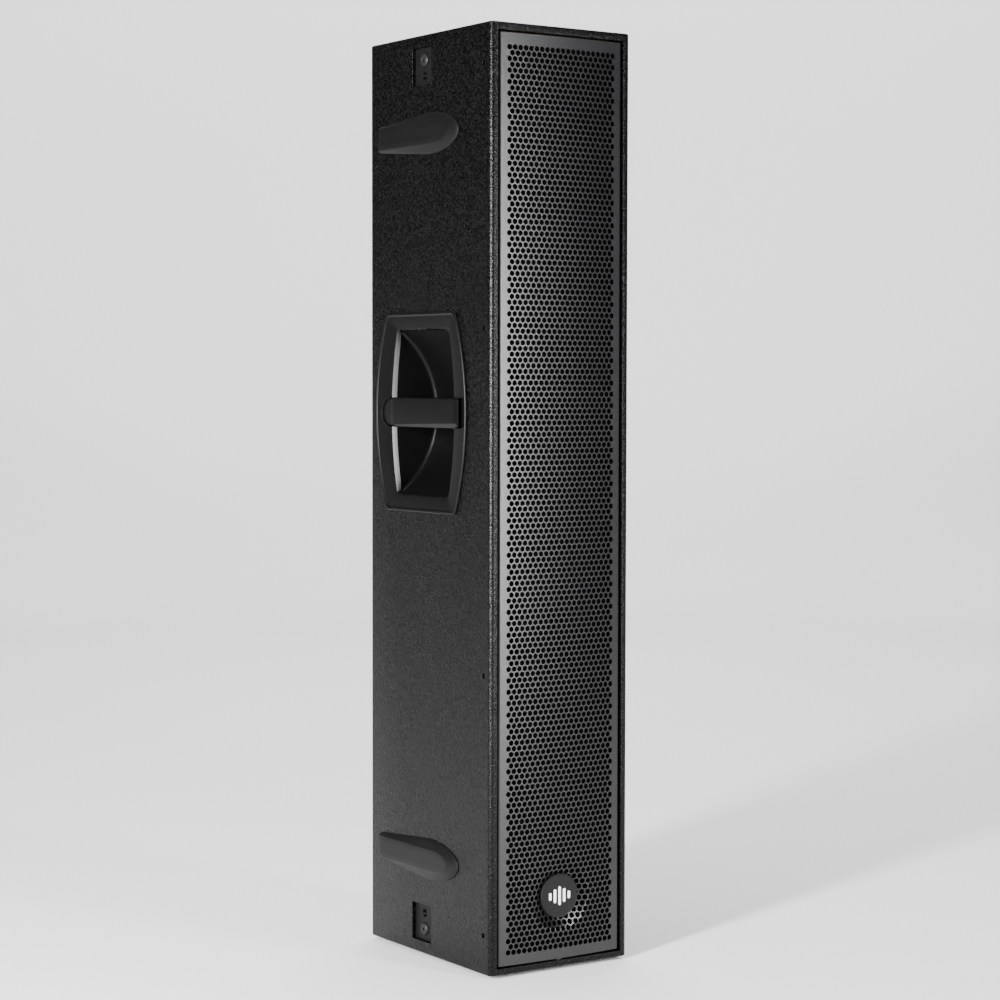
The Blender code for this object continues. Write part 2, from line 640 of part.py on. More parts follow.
def build_grille():
    """The bowed steel sheet, the foam behind it, the round badge and the eight screws."""
    half = INNER_X + GRILLE_SIDE_REBATE - GRILLE_CLEARANCE
    edge_y = FRONT_Y + GRILLE_EDGE_SETBACK
    flange_y = edge_y + GRILLE_FLANGE_DEPTH
    steps = GRILLE_BOW_STEPS
    outline = []
    for sheet, width in ((0.0, half), (GRILLE_THICKNESS, half - GRILLE_THICKNESS)):
        face = []
        for i in range(steps + 1):
            across = -width + 2 * width * i / steps
            face.append((across, edge_y + sheet - GRILLE_BOW * (1 - (across / half) ** 2)))
        face = [(-width, flange_y)] + face + [(width, flange_y)]
        outline += face if sheet == 0.0 else face[::-1]
    low = BASE_Z + PLY - GRILLE_BOTTOM_REBATE + GRILLE_CLEARANCE
    high = TOP_Z - PLY + GRILLE_TOP_REBATE - GRILLE_CLEARANCE
    grille = add_part("grille", plate_mesh("grille", outline, low, high), "black_steel")
    badge_z = BASE_Z + BADGE_HEIGHT
    mesh = cylinder_mesh("badge_hole", BADGE_RADIUS + GAP, -PLY, PLY, ROUND_STEPS)
    combine(grille, add_cutter("badge_hole", mesh, (0, FRONT_Y, badge_z), FACING_FRONT), "DIFFERENCE")
    foam_y = FRONT_Y + FOAM_FRONT_SETBACK
    foam_half = half - GRILLE_THICKNESS - GAP
    mesh = box_mesh("grille_foam", (-foam_half, foam_y, low), (foam_half, foam_y + FOAM_THICKNESS, high))
    add_part("grille_foam", mesh, "open_foam")
    face = -BADGE_SINK
    back = face - BADGE_THICKNESS
    profile = [(0, face), (BADGE_RADIUS - BADGE_CHAMFER, face), (BADGE_RADIUS, face - BADGE_CHAMFER),
               (BADGE_RADIUS, back), (0, back)]
    badge = add_part("badge", profile_mesh("badge", profile, False), "black_plastic", (0, FRONT_Y, badge_z),
                     FACING_FRONT)
    turn(badge)
    screw_end = -(SIDE_X - half) + GAP
    head = -SCREW_SINK
    socket_radius, socket_depth = SCREW_SOCKET
    profile = [(0, head - socket_depth), (socket_radius, head - socket_depth), (socket_radius, head),
               (SCREW_RADIUS, head), (SCREW_RADIUS, screw_end), (0, screw_end)]
    for side, side_name in SIDE_NAMES.items():
        for index, height in enumerate(SCREW_HEIGHTS):
            name = side_name + "_grille_screw_" + str(index + 1)
            place = (side * SIDE_X, FRONT_Y + SCREW_SETBACK, BASE_Z + height)
            screw = add_part(name, profile_mesh(name, profile, False), "black_steel", place, FACING_SIDE[side])
            turn(screw, FINE_STEPS)


def build_woofers():
    """Four identical drivers: a basket with its magnet, and a cone with its voice coil."""
    face = WOOFER_FLANGE + GAP
    basket = [(0, -0.042), (0.0125, -0.042), (0.0125, -0.058), (0.0165, -0.058), (0.0165, -0.040),
              (0.040, -0.040), (0.0665, -0.014), (0.0685, face), (WOOFER_FLANGE_RADIUS, face),
              (WOOFER_FLANGE_RADIUS, GAP), (0.0699, GAP), (0.0699, -0.0155), (0.046, -0.0385), (0.046, -0.068),
              (0.043, -0.071), (0, -0.071)]
    front = CONE_FRONT
    cone = [(0, -0.0150), (0.010, -0.0165), (0.018, -0.0215), (0.0565, front - 0.0015),
            (0.0600, front + 0.0015), (0.0640, front), (0.0655, front - 0.002), (0.0640, front - 0.003),
            (0.0560, front - 0.004), (0.0155, -0.0255), (0.0152, -0.0500), (0.0138, -0.0500), (0.0138, -0.0250),
            (0, -0.0190)]
    for index, offset in enumerate(WOOFER_OFFSETS):
        place = (0, BAFFLE_Y, MIDDLE_Z + offset)
        for name, profile, finish in (("woofer_frame_" + str(index + 1), basket, "cast_metal"),
                                      ("woofer_cone_" + str(index + 1), cone, "treated_paper")):
            turn(add_part(name, profile_mesh(name, profile, False), finish, place, FACING_FRONT), ROUND_STEPS)


def build_horn():
    """A waveguide from a round throat to a tall mouth, with its compression driver behind."""
    face = BAFFLE_Y - WOOFER_FLANGE - GAP
    seat = BAFFLE_Y - GAP
    hole_x = HORN_HOLE[0] / 2 - 0.0015
    hole_z = HORN_HOLE[1] / 2 - 0.0015
    sections = ((face, *HORN_FLANGE, 14), (seat, *HORN_FLANGE, 14), (seat, hole_x, hole_z, 14),
                (-0.090, hole_x, hole_z, 14), (-0.062, 0.046, 0.062, 5), (HORN_THROAT_Y, 0.024, 0.024, 2),
                (HORN_THROAT_Y, 0.0127, 0.0127, 2), (-0.045, 0.0175, 0.022, 2.6), (-0.066, 0.034, 0.046, 5),
                (-0.090, 0.062, 0.100, 12), (face, hole_x - 0.003, hole_z - 0.003, 14))
    rings = []
    for depth, half_x, half_z, power in sections:
        rings.append([(across, depth, MIDDLE_Z + up) for across, up in soft_rectangle(half_x, half_z, power)])
    add_part("horn", loft_mesh("horn", rings, True), "black_plastic")
    profile = [(0, 0), (0.030, 0), (0.030, -0.006), (DRIVER_RADIUS, -0.010), (DRIVER_RADIUS, -0.040),
               (0.033, -0.046), (0.033, -DRIVER_DEPTH), (0, -DRIVER_DEPTH)]
    name = "compression_driver"
    place = (0, HORN_THROAT_Y + GAP, MIDDLE_Z)
    turn(add_part(name, profile_mesh(name, profile, False), "cast_metal", place, FACING_FRONT))


def build_socket(name, centre_z, centre_x, core_radius, core_top, finish):
    """A round panel socket on a square flange; its core stands in the bore up to core_top."""
    flange = SOCKET_FLANGE
    face = GAP + flange[2]
    bottom = GAP - SOCKET_BODY_DEPTH
    floor = bottom + 0.002
    if core_radius > 0:
        core = [(0, core_top), (core_radius, core_top), (core_radius, floor)]
    else:
        core = [(0, floor)]
    profile = core + [(SOCKET_BORE_RADIUS, floor), (SOCKET_BORE_RADIUS, face),
                      (SOCKET_BODY_RADIUS, face), (SOCKET_BODY_RADIUS, bottom), (0, bottom)]
    place = (centre_x, PLATE_Y, centre_z)
    socket = add_part(name, profile_mesh(name, profile, False), finish, place, FACING_BACK)
    turn(socket)
    mesh = plate_mesh(name + "_flange", soft_rectangle(flange[0] / 2, flange[1] / 2, 8), GAP, face)
    square = add_cutter(name + "_flange", mesh, place, FACING_BACK)
    mesh = cylinder_mesh(name + "_bore", SOCKET_BODY_RADIUS - 0.0008, -PLY, PLY, ROUND_STEPS)
    combine(square, add_cutter(name + "_bore", mesh, place, FACING_BACK), "DIFFERENCE")
    combine(socket, square, "UNION")
    return socket


def build_input_socket():
    """Female signal socket with three contact holes, and its sprung push latch."""
    place = (SOCKET_X, PLATE_Y, SOCKET_HIGH_Z)
    socket = build_socket("input_socket", SOCKET_HIGH_Z, SOCKET_X, SOCKET_CORE_RADIUS, -0.0005, "black_plastic")
    for index, (across, up) in enumerate(PIN_POSITIONS):
        mesh = cylinder_mesh("contact_hole", CONTACT_HOLE_RADIUS, -PLY, PLY, 8)
        hole = add_cutter("contact_hole_" + str(index), mesh, (place[0] + across, place[1], place[2] + up),
                          FACING_BACK)
        combine(socket, hole, "DIFFERENCE")
    slot = rectangle(LATCH_SIZE[0] + LATCH_CLEARANCE, LATCH_SIZE[1] + LATCH_CLEARANCE)
    slot_mesh = plate_mesh("latch_slot", slot, -0.013, PLY)
    slot_place = (place[0], place[1], place[2] + LATCH_OFFSET)
    combine(socket, add_cutter("latch_slot", slot_mesh, slot_place, FACING_BACK), "DIFFERENCE")
    mesh = plate_mesh("input_latch", rectangle(*LATCH_SIZE), *LATCH_REACH)
    latch = add_part("input_latch", mesh, "zinc_steel", slot_place, FACING_BACK)
    bevel(latch, 0.0004, 1)


def build_link_socket():
    """Male signal socket with three contact pins."""
    socket = build_socket("link_socket", SOCKET_LOW_Z, SOCKET_X, 0, 0, "black_plastic")
    for index, (across, up) in enumerate(PIN_POSITIONS):
        mesh = cylinder_mesh("contact_pin", PIN_RADIUS, 0.001 - SOCKET_BODY_DEPTH, -0.003, 8)
        pin = add_cutter("contact_pin_" + str(index), mesh, (SOCKET_X + across, PLATE_Y, SOCKET_LOW_Z - up),
                         FACING_BACK)
        combine(socket, pin, "UNION")


def build_controls():
    """Level knob, preset button and power rocker, each with its origin on its joint's axis."""
    face = KNOB_FACE
    profile = [(0, face), (KNOB_RADIUS - 0.0018, face), (KNOB_RADIUS - 0.001, face - 0.0008),
               (KNOB_RADIUS, 0.0018), (KNOB_RADIUS, 2 * GAP), (KNOB_SHAFT_RADIUS, 2 * GAP),
               (KNOB_SHAFT_RADIUS, KNOB_SHAFT_END), (0, KNOB_SHAFT_END)]
    knob = add_part("level_knob", profile_mesh("level_knob", profile, False), "black_plastic",
                    (0, PLATE_Y, KNOB_Z), FACING_BACK)
    turn(knob)
    low = (-0.0006, KNOB_RADIUS * 0.35, face - 0.0006)
    mark = add_cutter("knob_mark", box_mesh("knob_mark", low, (0.0006, KNOB_RADIUS, PLY)), (0, PLATE_Y, KNOB_Z),
                      FACING_BACK)
    combine(knob, mark, "DIFFERENCE")
    collar = BUTTON_RADIUS + 0.0014
    profile = [(0, BUTTON_FACE), (BUTTON_RADIUS - 0.0006, BUTTON_FACE), (BUTTON_RADIUS, BUTTON_FACE - 0.0006),
               (BUTTON_RADIUS, -0.0034), (collar, -0.0034), (collar, -0.0050), (0, -0.0050)]
    button = add_part("preset_button", profile_mesh("preset_button", profile, False), "black_plastic",
                      (0, PLATE_Y, BUTTON_Z), FACING_BACK)
    turn(button)
    tall = ROCKER_HALF_HEIGHT
    outline = [(0.0030, 0.0), (0.0045, tall), (-0.0010, tall), (-0.0060, tall / 2), (-0.0060, -tall / 2),
               (-0.0010, -tall), (0.0045, -tall)]
    tilt = math.radians(ROCKER_REST_DEG)
    tilted = [(out * math.cos(tilt) - up * math.sin(tilt), out * math.sin(tilt) + up * math.cos(tilt))
              for out, up in outline]
    mesh = plate_mesh("power_rocker", tilted, -ROCKER_WIDTH / 2, ROCKER_WIDTH / 2)
    rocker = add_part("power_rocker", mesh, "black_plastic", (-SOCKET_X, ROCKER_PIVOT_Y, SOCKET_HIGH_Z),
                      FACING_SIDE[1])
    bevel(rocker, 0.0005, 2)


def build_amplifier():
    """The amplifier's panel with its holes, the heatsink, the chassis behind and all that the panel carries."""
    reach = INNER_X - GAP
    low = (-reach, PLATE_Y - AMPLIFIER_PLATE, AMPLIFIER_LOW - AMPLIFIER_LAP)
    high = (reach, PLATE_Y, AMPLIFIER_HIGH + AMPLIFIER_LAP)
    panel = add_part("amplifier_panel", box_mesh("amplifier_panel", low, high), "black_aluminium")
    holes = (("input", SOCKET_X, SOCKET_HIGH_Z, PANEL_HOLE_RADIUS),
             ("link", SOCKET_X, SOCKET_LOW_Z, PANEL_HOLE_RADIUS),
             ("mains", -SOCKET_X, SOCKET_LOW_Z, PANEL_HOLE_RADIUS),
             ("knob", 0, KNOB_Z, KNOB_SHAFT_RADIUS + 2 * GAP),
             ("button", 0, BUTTON_Z, BUTTON_RADIUS + GAP))
    for label, across, height, radius in holes:
        mesh = cylinder_mesh(label + "_hole", radius, -PLY, PLY, ROUND_STEPS)
        cutter = add_cutter(label + "_hole", mesh, (across, PLATE_Y, height), FACING_BACK)
        combine(panel, cutter, "DIFFERENCE")
    outline = rectangle(LATCH_SIZE[0] + 2 * LATCH_CLEARANCE, 2 * LATCH_SIZE[1])
    mesh = plate_mesh("latch_relief", outline, -PLY, PLY)
    relief = add_cutter("latch_relief", mesh, (SOCKET_X, PLATE_Y, SOCKET_HIGH_Z + LATCH_OFFSET), FACING_BACK)
    combine(panel, relief, "DIFFERENCE")
    outline = rectangle(ROCKER_WIDTH + ROCKER_CLEARANCE, 2 * (ROCKER_HALF_HEIGHT + ROCKER_CLEARANCE))
    mesh = plate_mesh("rocker_hole", outline, -PLY, PLY)
    hole = add_cutter("rocker_hole", mesh, (-SOCKET_X, PLATE_Y, SOCKET_HIGH_Z), FACING_BACK)
    combine(panel, hole, "DIFFERENCE")
    low = (-CHASSIS_HALF_WIDTH, CHASSIS_FRONT_Y, CHASSIS_LOW)
    high = (CHASSIS_HALF_WIDTH, PLATE_Y - AMPLIFIER_PLATE - GAP, CHASSIS_HIGH)
    chassis = add_part("amplifier_chassis", box_mesh("amplifier_chassis", low, high), "zinc_steel")
    reach = CHASSIS_HALF_WIDTH - CHASSIS_WALL
    low = (-reach, CHASSIS_FRONT_Y + CHASSIS_WALL, CHASSIS_LOW + CHASSIS_WALL)
    high = (reach, PLATE_Y, CHASSIS_HIGH - CHASSIS_WALL)
    pocket = add_cutter("chassis_pocket", box_mesh("chassis_pocket", low, high))
    combine(chassis, pocket, "DIFFERENCE")
    build_heatsink()
    build_input_socket()
    build_link_socket()
    build_socket("mains_inlet", SOCKET_LOW_Z, -SOCKET_X, 0.0062, -0.002, "blue_plastic")
    build_controls()


def build_heatsink():
    """An extruded comb of upright fins on a flat base."""
    base_y = PLATE_Y + GAP
    outline = [(-HEATSINK_HALF_WIDTH, base_y)]
    pitch = (2 * HEATSINK_HALF_WIDTH - FIN_THICKNESS) / (FIN_COUNT - 1)
    for index in range(FIN_COUNT):
        left = -HEATSINK_HALF_WIDTH + index * pitch
        right = left + FIN_THICKNESS
        if index > 0:
            outline.append((left, base_y + HEATSINK_BASE))
        outline += [(left, base_y + HEATSINK_DEPTH), (right, base_y + HEATSINK_DEPTH)]
        if index < FIN_COUNT - 1:
            outline.append((right, base_y + HEATSINK_BASE))
    outline.append((HEATSINK_HALF_WIDTH, base_y))
    add_part("heatsink", plate_mesh("heatsink", outline, HEATSINK_LOW, HEATSINK_HIGH), "black_aluminium")


def build_pole_socket():
    """A flanged metal cup in the underside that takes a 35 mm stand pole."""
    flange_low = BASE_Z - GAP - POLE_FLANGE_THICKNESS
    flange_high = BASE_Z - GAP
    outer = POLE_RADIUS + POLE_WALL
    ceiling = flange_low + POLE_DEPTH
    profile = [(0, ceiling + POLE_WALL), (outer, ceiling + POLE_WALL), (outer, flange_high),
               (POLE_FLANGE_RADIUS, flange_high), (POLE_FLANGE_RADIUS, flange_low + 0.0008),
               (POLE_FLANGE_RADIUS - 0.0008, flange_low), (POLE_RADIUS + 0.001, flange_low),
               (POLE_RADIUS, flange_low + 0.001), (POLE_RADIUS, ceiling), (0, ceiling)]
    name = "pole_socket"
    socket = add_part(name, profile_mesh(name, profile, False), "cast_metal", (0, POLE_Y, 0))
    turn(socket)


clear_scene()
parts = make_collection("line_array_speaker")
cutters = make_collection("cutters")
build_cabinet()
build_feet()
build_skids()
build_handles()
build_fly_points()
build_grille()
build_woofers()
build_horn()
build_amplifier()
build_pole_socket()
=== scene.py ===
"""Line array column loudspeaker: its looks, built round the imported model.

Metres, +Z up. The front faces -Y. "left" is the -X side.
"""
import math

import bmesh
import bpy
import numpy as np
from mathutils import Matrix, Vector


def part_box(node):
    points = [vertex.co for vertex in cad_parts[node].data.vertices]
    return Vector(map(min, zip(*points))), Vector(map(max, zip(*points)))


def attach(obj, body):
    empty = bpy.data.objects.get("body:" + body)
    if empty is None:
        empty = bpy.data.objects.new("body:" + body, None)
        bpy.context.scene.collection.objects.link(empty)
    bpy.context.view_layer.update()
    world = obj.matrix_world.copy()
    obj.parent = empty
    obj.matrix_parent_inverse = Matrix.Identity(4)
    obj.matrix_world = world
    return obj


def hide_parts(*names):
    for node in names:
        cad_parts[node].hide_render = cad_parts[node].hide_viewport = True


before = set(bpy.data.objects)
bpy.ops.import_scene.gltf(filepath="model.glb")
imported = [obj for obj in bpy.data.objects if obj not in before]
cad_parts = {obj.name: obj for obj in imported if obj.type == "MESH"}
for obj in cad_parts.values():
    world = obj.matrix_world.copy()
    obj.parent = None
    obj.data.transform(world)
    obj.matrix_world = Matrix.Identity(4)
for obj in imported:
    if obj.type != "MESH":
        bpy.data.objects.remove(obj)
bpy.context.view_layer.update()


# Camera and studio.
# A long lens from the front left. The floor sweeps up into a round pale wall, so that no horizon shows.
# A tall soft light stands at the front left, another beyond the front right, and one hangs overhead.
camera_data = bpy.data.cameras.new("camera")
camera_data.lens = 88.94
camera_data.sensor_width = 36.0
camera_data.clip_start = 0.1
camera_data.clip_end = 50.0
camera = bpy.data.objects.new("camera", camera_data)
camera.matrix_world = (Matrix.Translation((-1.6523, -2.4535, 0.6844))
                       @ Matrix.Rotation(math.radians(-34.003), 4, "Z")
                       @ Matrix.Rotation(math.radians(90 - 2.740), 4, "X")
                       @ Matrix.Rotation(math.radians(0.092), 4, "Z"))
bpy.context.scene.collection.objects.link(camera)
bpy.context.scene.camera = camera

world = bpy.data.worlds.new("studio_air")
world.use_nodes = True
world.node_tree.nodes["Background"].inputs["Color"].default_value = (1.0, 1.0, 1.0, 1.0)
world.node_tree.nodes["Background"].inputs["Strength"].default_value = 0.25
bpy.context.scene.world = world


def soft_light(name, place, aim, width, height, power):
    """A rectangular soft box at a place, turned to face a point."""
    light = bpy.data.lights.new(name, "AREA")
    light.shape = "RECTANGLE"
    light.size = width
    light.size_y = height
    light.energy = power
    lamp = bpy.data.objects.new(name, light)
    lamp.location = place
    lamp.rotation_euler = (Vector(aim) - Vector(place)).to_track_quat("-Z", "Y").to_euler()
    lamp.visible_camera = False
    bpy.context.scene.collection.objects.link(lamp)


soft_light("side_light", (-2.36, -1.05, 0.90), (0, 0, 0.60), 0.24, 1.0, 330)
soft_light("front_light", (0.80, -2.74, 0.66), (0, 0, 0.62), 0.40, 1.1, 115)
soft_light("overhead_light", (0.0, 0.2, 3.4), (0, 0, 0), 2.6, 2.6, 90)
soft_light("backdrop_light", (1.3, 1.9, 4.2), (2.6, 3.9, 0.3), 3.0, 1.0, 300)


def grid_faces(rows, columns, closed_rows=False, closed_columns=False):
    """Quads on a grid of points: each joins a point and its next with the same two in the next row."""
    row, column = np.meshgrid(np.arange(rows if closed_rows else rows - 1),
                              np.arange(columns if closed_columns else columns - 1), indexing="ij")
    next_row = (row + 1) % rows
    next_column = (column + 1) % columns
    corners = (row * columns + column, row * columns + next_column,
               next_row * columns + next_column, next_row * columns + column)
    return np.stack(corners, axis=-1).reshape(-1, 4)


def add_surface(name, points, faces, outwards=None, sharp=35.0, merge=0.000002):
    """A mesh from a grid of points. Doubles merge, so that seams and poles close.

    A closed shell is turned outwards as a whole. An open one is turned so that its area faces outwards.
    """
    mesh = bpy.data.meshes.new(name)
    mesh.from_pydata(np.asarray(points, float).reshape(-1, 3).tolist(), [], [list(face) for face in faces])
    form = bmesh.new()
    form.from_mesh(mesh)
    bmesh.ops.remove_doubles(form, verts=form.verts, dist=merge)
    if outwards is None:
        bmesh.ops.recalc_face_normals(form, faces=form.faces)
    else:
        area = Vector((0, 0, 0))
        for face in form.faces:
            area += face.normal * face.calc_area()
        if area.dot(Vector(outwards)) < 0:
            bmesh.ops.reverse_faces(form, faces=form.faces)
    form.to_mesh(mesh)
    form.free()
    mesh.shade_smooth()
    mesh.set_sharp_from_angle(angle=math.radians(sharp))
    piece = bpy.data.objects.new(name, mesh)
    bpy.context.scene.collection.objects.link(piece)
    return piece


# Each facing is the three directions that a piece's own X, Y and Z take.
FACINGS = {
    "up": ((1, 0, 0), (0, 1, 0), (0, 0, 1)),
    "down": ((1, 0, 0), (0, -1, 0), (0, 0, -1)),
    "front": ((1, 0, 0), (0, 0, 1), (0, -1, 0)),
    "back": ((-1, 0, 0), (0, 0, 1), (0, 1, 0)),
    "left": ((0, -1, 0), (0, 0, 1), (-1, 0, 0)),
    "right": ((0, 1, 0), (0, 0, 1), (1, 0, 0)),
}


def placed(points, place, facing):
    """Points of a piece in its own axes, turned to a facing and moved to a place."""
    return np.asarray(points, float) @ np.array(FACINGS[facing], float) + np.asarray(place, float)


def turned(profile, steps, place, facing, sides=None):
    """A profile carried round its axis: across is the radius times the cosine and sine of the turn.

    sides gives, for each profile point, 0 for a round or the number of flats of a regular polygon,
    whose radius is the profile's times the cosine of half a flat over the cosine from the flat's middle.
    """
    profile = np.asarray(profile, float)
    turn = np.arange(steps) * 2 * math.pi / steps
    radius = np.repeat(profile[:, :1], steps, axis=1)
    if sides is not None:
        half = math.pi / np.maximum(np.asarray(sides, float), 2)[:, None]
        flat = np.cos(half) / np.cos((turn[None, :] + half) % (2 * half) - half)
        radius = np.where(np.asarray(sides)[:, None] > 0, radius * flat, radius)
    height = np.repeat(profile[:, 1:2], steps, axis=1)
    points = np.stack([radius * np.cos(turn), radius * np.sin(turn), height], axis=-1).reshape(-1, 3)
    return placed(points, place, facing), grid_faces(len(profile), steps, closed_columns=True)


def feed(socket, value):
    """Link a signal to a socket, or set the socket's own value."""
    if isinstance(value, Signal):
        socket.id_data.links.new(value.socket, socket)
    else:
        socket.default_value = value


class Signal:
    """A value at a shader node's output. Arithmetic on it adds Math nodes."""

    def __init__(self, socket):
        self.socket = socket

    def math(self, operation, *values):
        node = self.socket.id_data.nodes.new("ShaderNodeMath")
        node.operation = operation
        for socket, value in zip(node.inputs, values):
            feed(socket, value)
        return Signal(node.outputs[0])

    def __add__(self, other):
        return self.math("ADD", self, other)

    def __radd__(self, other):
        return self.math("ADD", other, self)

    def __sub__(self, other):
        return self.math("SUBTRACT", self, other)

    def __rsub__(self, other):
        return self.math("SUBTRACT", other, self)

    def __mul__(self, other):
        return self.math("MULTIPLY", self, other)

    def __rmul__(self, other):
        return self.math("MULTIPLY", other, self)

    def between(self, low, high):
        """0 below low, 1 above high, and a smooth rise from one to the other."""
        node = self.socket.id_data.nodes.new("ShaderNodeMapRange")
        node.interpolation_type = "SMOOTHSTEP"
        feed(node.inputs["Value"], self)
        feed(node.inputs["From Min"], low)
        feed(node.inputs["From Max"], high)
        return Signal(node.outputs["Result"])


class Finish:
    """A material under construction: its Principled shader, and one way to add any other node."""

    def __init__(self, name, sockets):
        self.material = bpy.data.materials.new(name)
        self.material.use_nodes = True
        self.tree = self.material.node_tree
        self.shader = self.tree.nodes["Principled BSDF"]
        for key, value in sockets.items():
            self.set(key, value)

    def set(self, key, value):
        if key == "Base Color" and isinstance(value, tuple):
            value = (*value, 1.0)
        feed(self.shader.inputs[key], value)

    def node(self, kind, settings=None, inputs=None, output=0):
        """Add a node: its settings first, then the values or links of its sockets."""
        node = self.tree.nodes.new(kind)
        for key, value in (settings or {}).items():
            setattr(node, key, value)
        for key, value in (inputs or {}).items():
            feed(node.inputs[key], value)
        return Signal(node.outputs[output])

    def place(self, stretch=(1, 1, 1)):
        """Where a point is on the object in metres, with each axis multiplied."""
        place = self.node("ShaderNodeTexCoord", output="Object")
        if stretch == (1, 1, 1):
            return place
        return self.node("ShaderNodeVectorMath", {"operation": "MULTIPLY"}, {0: place, 1: stretch})

    def noise(self, size, detail=2.0, stretch=(1, 1, 1)):
        """Smooth noise from 0 to 1 whose blotches are about size metres across."""
        return self.node("ShaderNodeTexNoise", None, {"Vector": self.place(stretch), "Scale": 1 / size,
                                                      "Detail": detail})

    def cells(self, size):
        """Distance from the nearest of scattered points that stand about size metres apart."""
        return self.node("ShaderNodeTexVoronoi", None, {"Vector": self.place(), "Scale": 1 / size})

    def mix(self, share, first, second):
        """One colour giving way to another."""
        first, second = [(*value, 1.0) if isinstance(value, tuple) else value for value in (first, second)]
        return self.node("ShaderNodeMix", {"data_type": "RGBA"}, {0: share, 6: first, 7: second}, output=2)

    def bumps(self, *layers):
        """Relief from (height signal, depth in metres) layers, each on top of the last."""
        normal = None
        for height, depth in layers:
            inputs = {"Height": height, "Distance": depth, "Strength": 1.0}
            if normal is not None:
                inputs["Normal"] = normal
            normal = self.node("ShaderNodeBump", None, inputs)
        self.set("Normal", normal)


STUDIO_RADIUS = 4.0
SWEEP_RADIUS = 1.5
WALL_TOP = 5.0
sweep = np.linspace(-math.pi / 2, 0, 17)
floor_line = np.stack([np.linspace(0, STUDIO_RADIUS, 9), np.zeros(9)], axis=-1)
floor_curve = np.stack([STUDIO_RADIUS + SWEEP_RADIUS * np.cos(sweep),
                        SWEEP_RADIUS + SWEEP_RADIUS * np.sin(sweep)], axis=-1)
wall_end = np.array([[STUDIO_RADIUS + SWEEP_RADIUS, WALL_TOP]])
studio_profile = np.concatenate([floor_line, floor_curve, wall_end])
backdrop = add_surface("studio_backdrop", *turned(studio_profile, 96, (0, 0, 0), "up"), outwards=(0, 0, 1),
                       merge=0.0001)
studio_paint = Finish("studio_paint", {"Roughness": 0.9, "Specular IOR Level": 0.1})
# the wall is pale behind the object and grey all round the rest, so that black sides mirror something dark
towards = studio_paint.node("ShaderNodeVectorMath", {"operation": "DOT_PRODUCT"},
                            {0: studio_paint.place(), 1: (0.11, 0.17, 0.0)}, output=1)
height = studio_paint.node("ShaderNodeSeparateXYZ", None, {"Vector": studio_paint.place()}, output="Z")
grey = (1 - towards.between(0.88, 1.03)) * height.between(0.0, 1.2)
pale = studio_paint.mix(studio_paint.noise(0.6), (0.72, 0.72, 0.72), (0.74, 0.74, 0.74))
studio_paint.set("Base Color", studio_paint.mix(grey, pale, (0.08, 0.08, 0.08)))
backdrop.data.materials.append(studio_paint.material)


# Cabinet.
# Six panels of 12 mm birch plywood, glued and sanded to one box, then sprayed with black pebbled paint.
# The front corners are rounded. The openings for the fittings are routed before the paint, with soft edges.
left_low, left_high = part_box("left_side_panel")
right_low, right_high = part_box("right_side_panel")
SIDE_X = right_high.x
INNER_X = right_low.x
FRONT_Y = left_low.y
BACK_Y = left_high.y
BASE_Z = left_low.z
TOP_Z = left_high.z
MIDDLE_Z = (BASE_Z + TOP_Z) / 2
INNER_BACK_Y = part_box("upper_back_panel")[0].y
INNER_LOW_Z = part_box("bottom_panel")[1].z
INNER_HIGH_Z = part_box("top_panel")[0].z
AMPLIFIER_LOW_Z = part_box("lower_back_panel")[1].z
AMPLIFIER_HIGH_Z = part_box("upper_back_panel")[0].z
FRONT_CORNER = 0.006
BACK_CORNER = 0.0025
END_EDGE = 0.002
ROUTED_EDGE = 0.0012
HANDLE_Z = 0.648
POCKET_Y = 0.0138
POCKET = (0.098, 0.056, 0.0683)         # half height, half width at the ends and at the middle
POCKET_CLEARANCE = 0.0036
FIT_GAP = 0.0003
CUT_PAST = 0.01                         # how far a cutter runs past what it cuts
SIDES = {-1: "left", 1: "right"}


def cabinet_ring(inset):
    """The cabinet's outline drawn in by inset: four corner arcs, whose radii shrink by the same inset."""
    arc = np.linspace(0, math.pi / 2, 9)
    stretches = []
    for index, (side_x, end_y, radius) in enumerate(((1, -1, FRONT_CORNER), (1, 1, BACK_CORNER),
                                                     (-1, 1, BACK_CORNER), (-1, -1, FRONT_CORNER))):
        turn = arc + (index - 1) * math.pi / 2
        centre_y = BACK_Y - radius if end_y > 0 else FRONT_Y + radius
        reach = max(radius - inset, 0)
        stretches.append(np.stack([side_x * (SIDE_X - radius) + reach * np.cos(turn),
                                   centre_y + reach * np.sin(turn)], axis=-1))
    return np.concatenate(stretches)


def stack(rings):
    """Rings of equal counts skinned into a closed solid, with a flat face at each end."""
    count = len(rings[0])
    faces = grid_faces(len(rings), count, closed_columns=True).tolist()
    faces.append(list(range(count)))
    faces.append(list(range((len(rings) - 1) * count, len(rings) * count)))
    return np.concatenate(rings), faces


def joined(solids):
    """Several solids as one list of points and one of faces."""
    points = []
    faces = []
    for solid_points, solid_faces in solids:
        first = sum(len(group) for group in points)
        points.append(np.asarray(solid_points, float).reshape(-1, 3))
        faces += [[first + corner for corner in face] for face in solid_faces]
    return np.concatenate(points), faces


def settle(piece):
    """Replace a piece's mesh by what its modifiers make of it."""
    bpy.context.view_layer.update()
    shaped = piece.evaluated_get(bpy.context.evaluated_depsgraph_get())
    mesh = bpy.data.meshes.new_from_object(shaped)
    piece.modifiers.clear()
    piece.data = mesh


def cut(piece, solids):
    """Cut solids out of a piece."""
    cutter = add_surface("cutter", *joined(solids))
    boolean = piece.modifiers.new("cut", "BOOLEAN")
    boolean.operation = "DIFFERENCE"
    boolean.solver = "EXACT"
    boolean.object = cutter
    settle(piece)
    bpy.data.objects.remove(cutter, do_unlink=True)


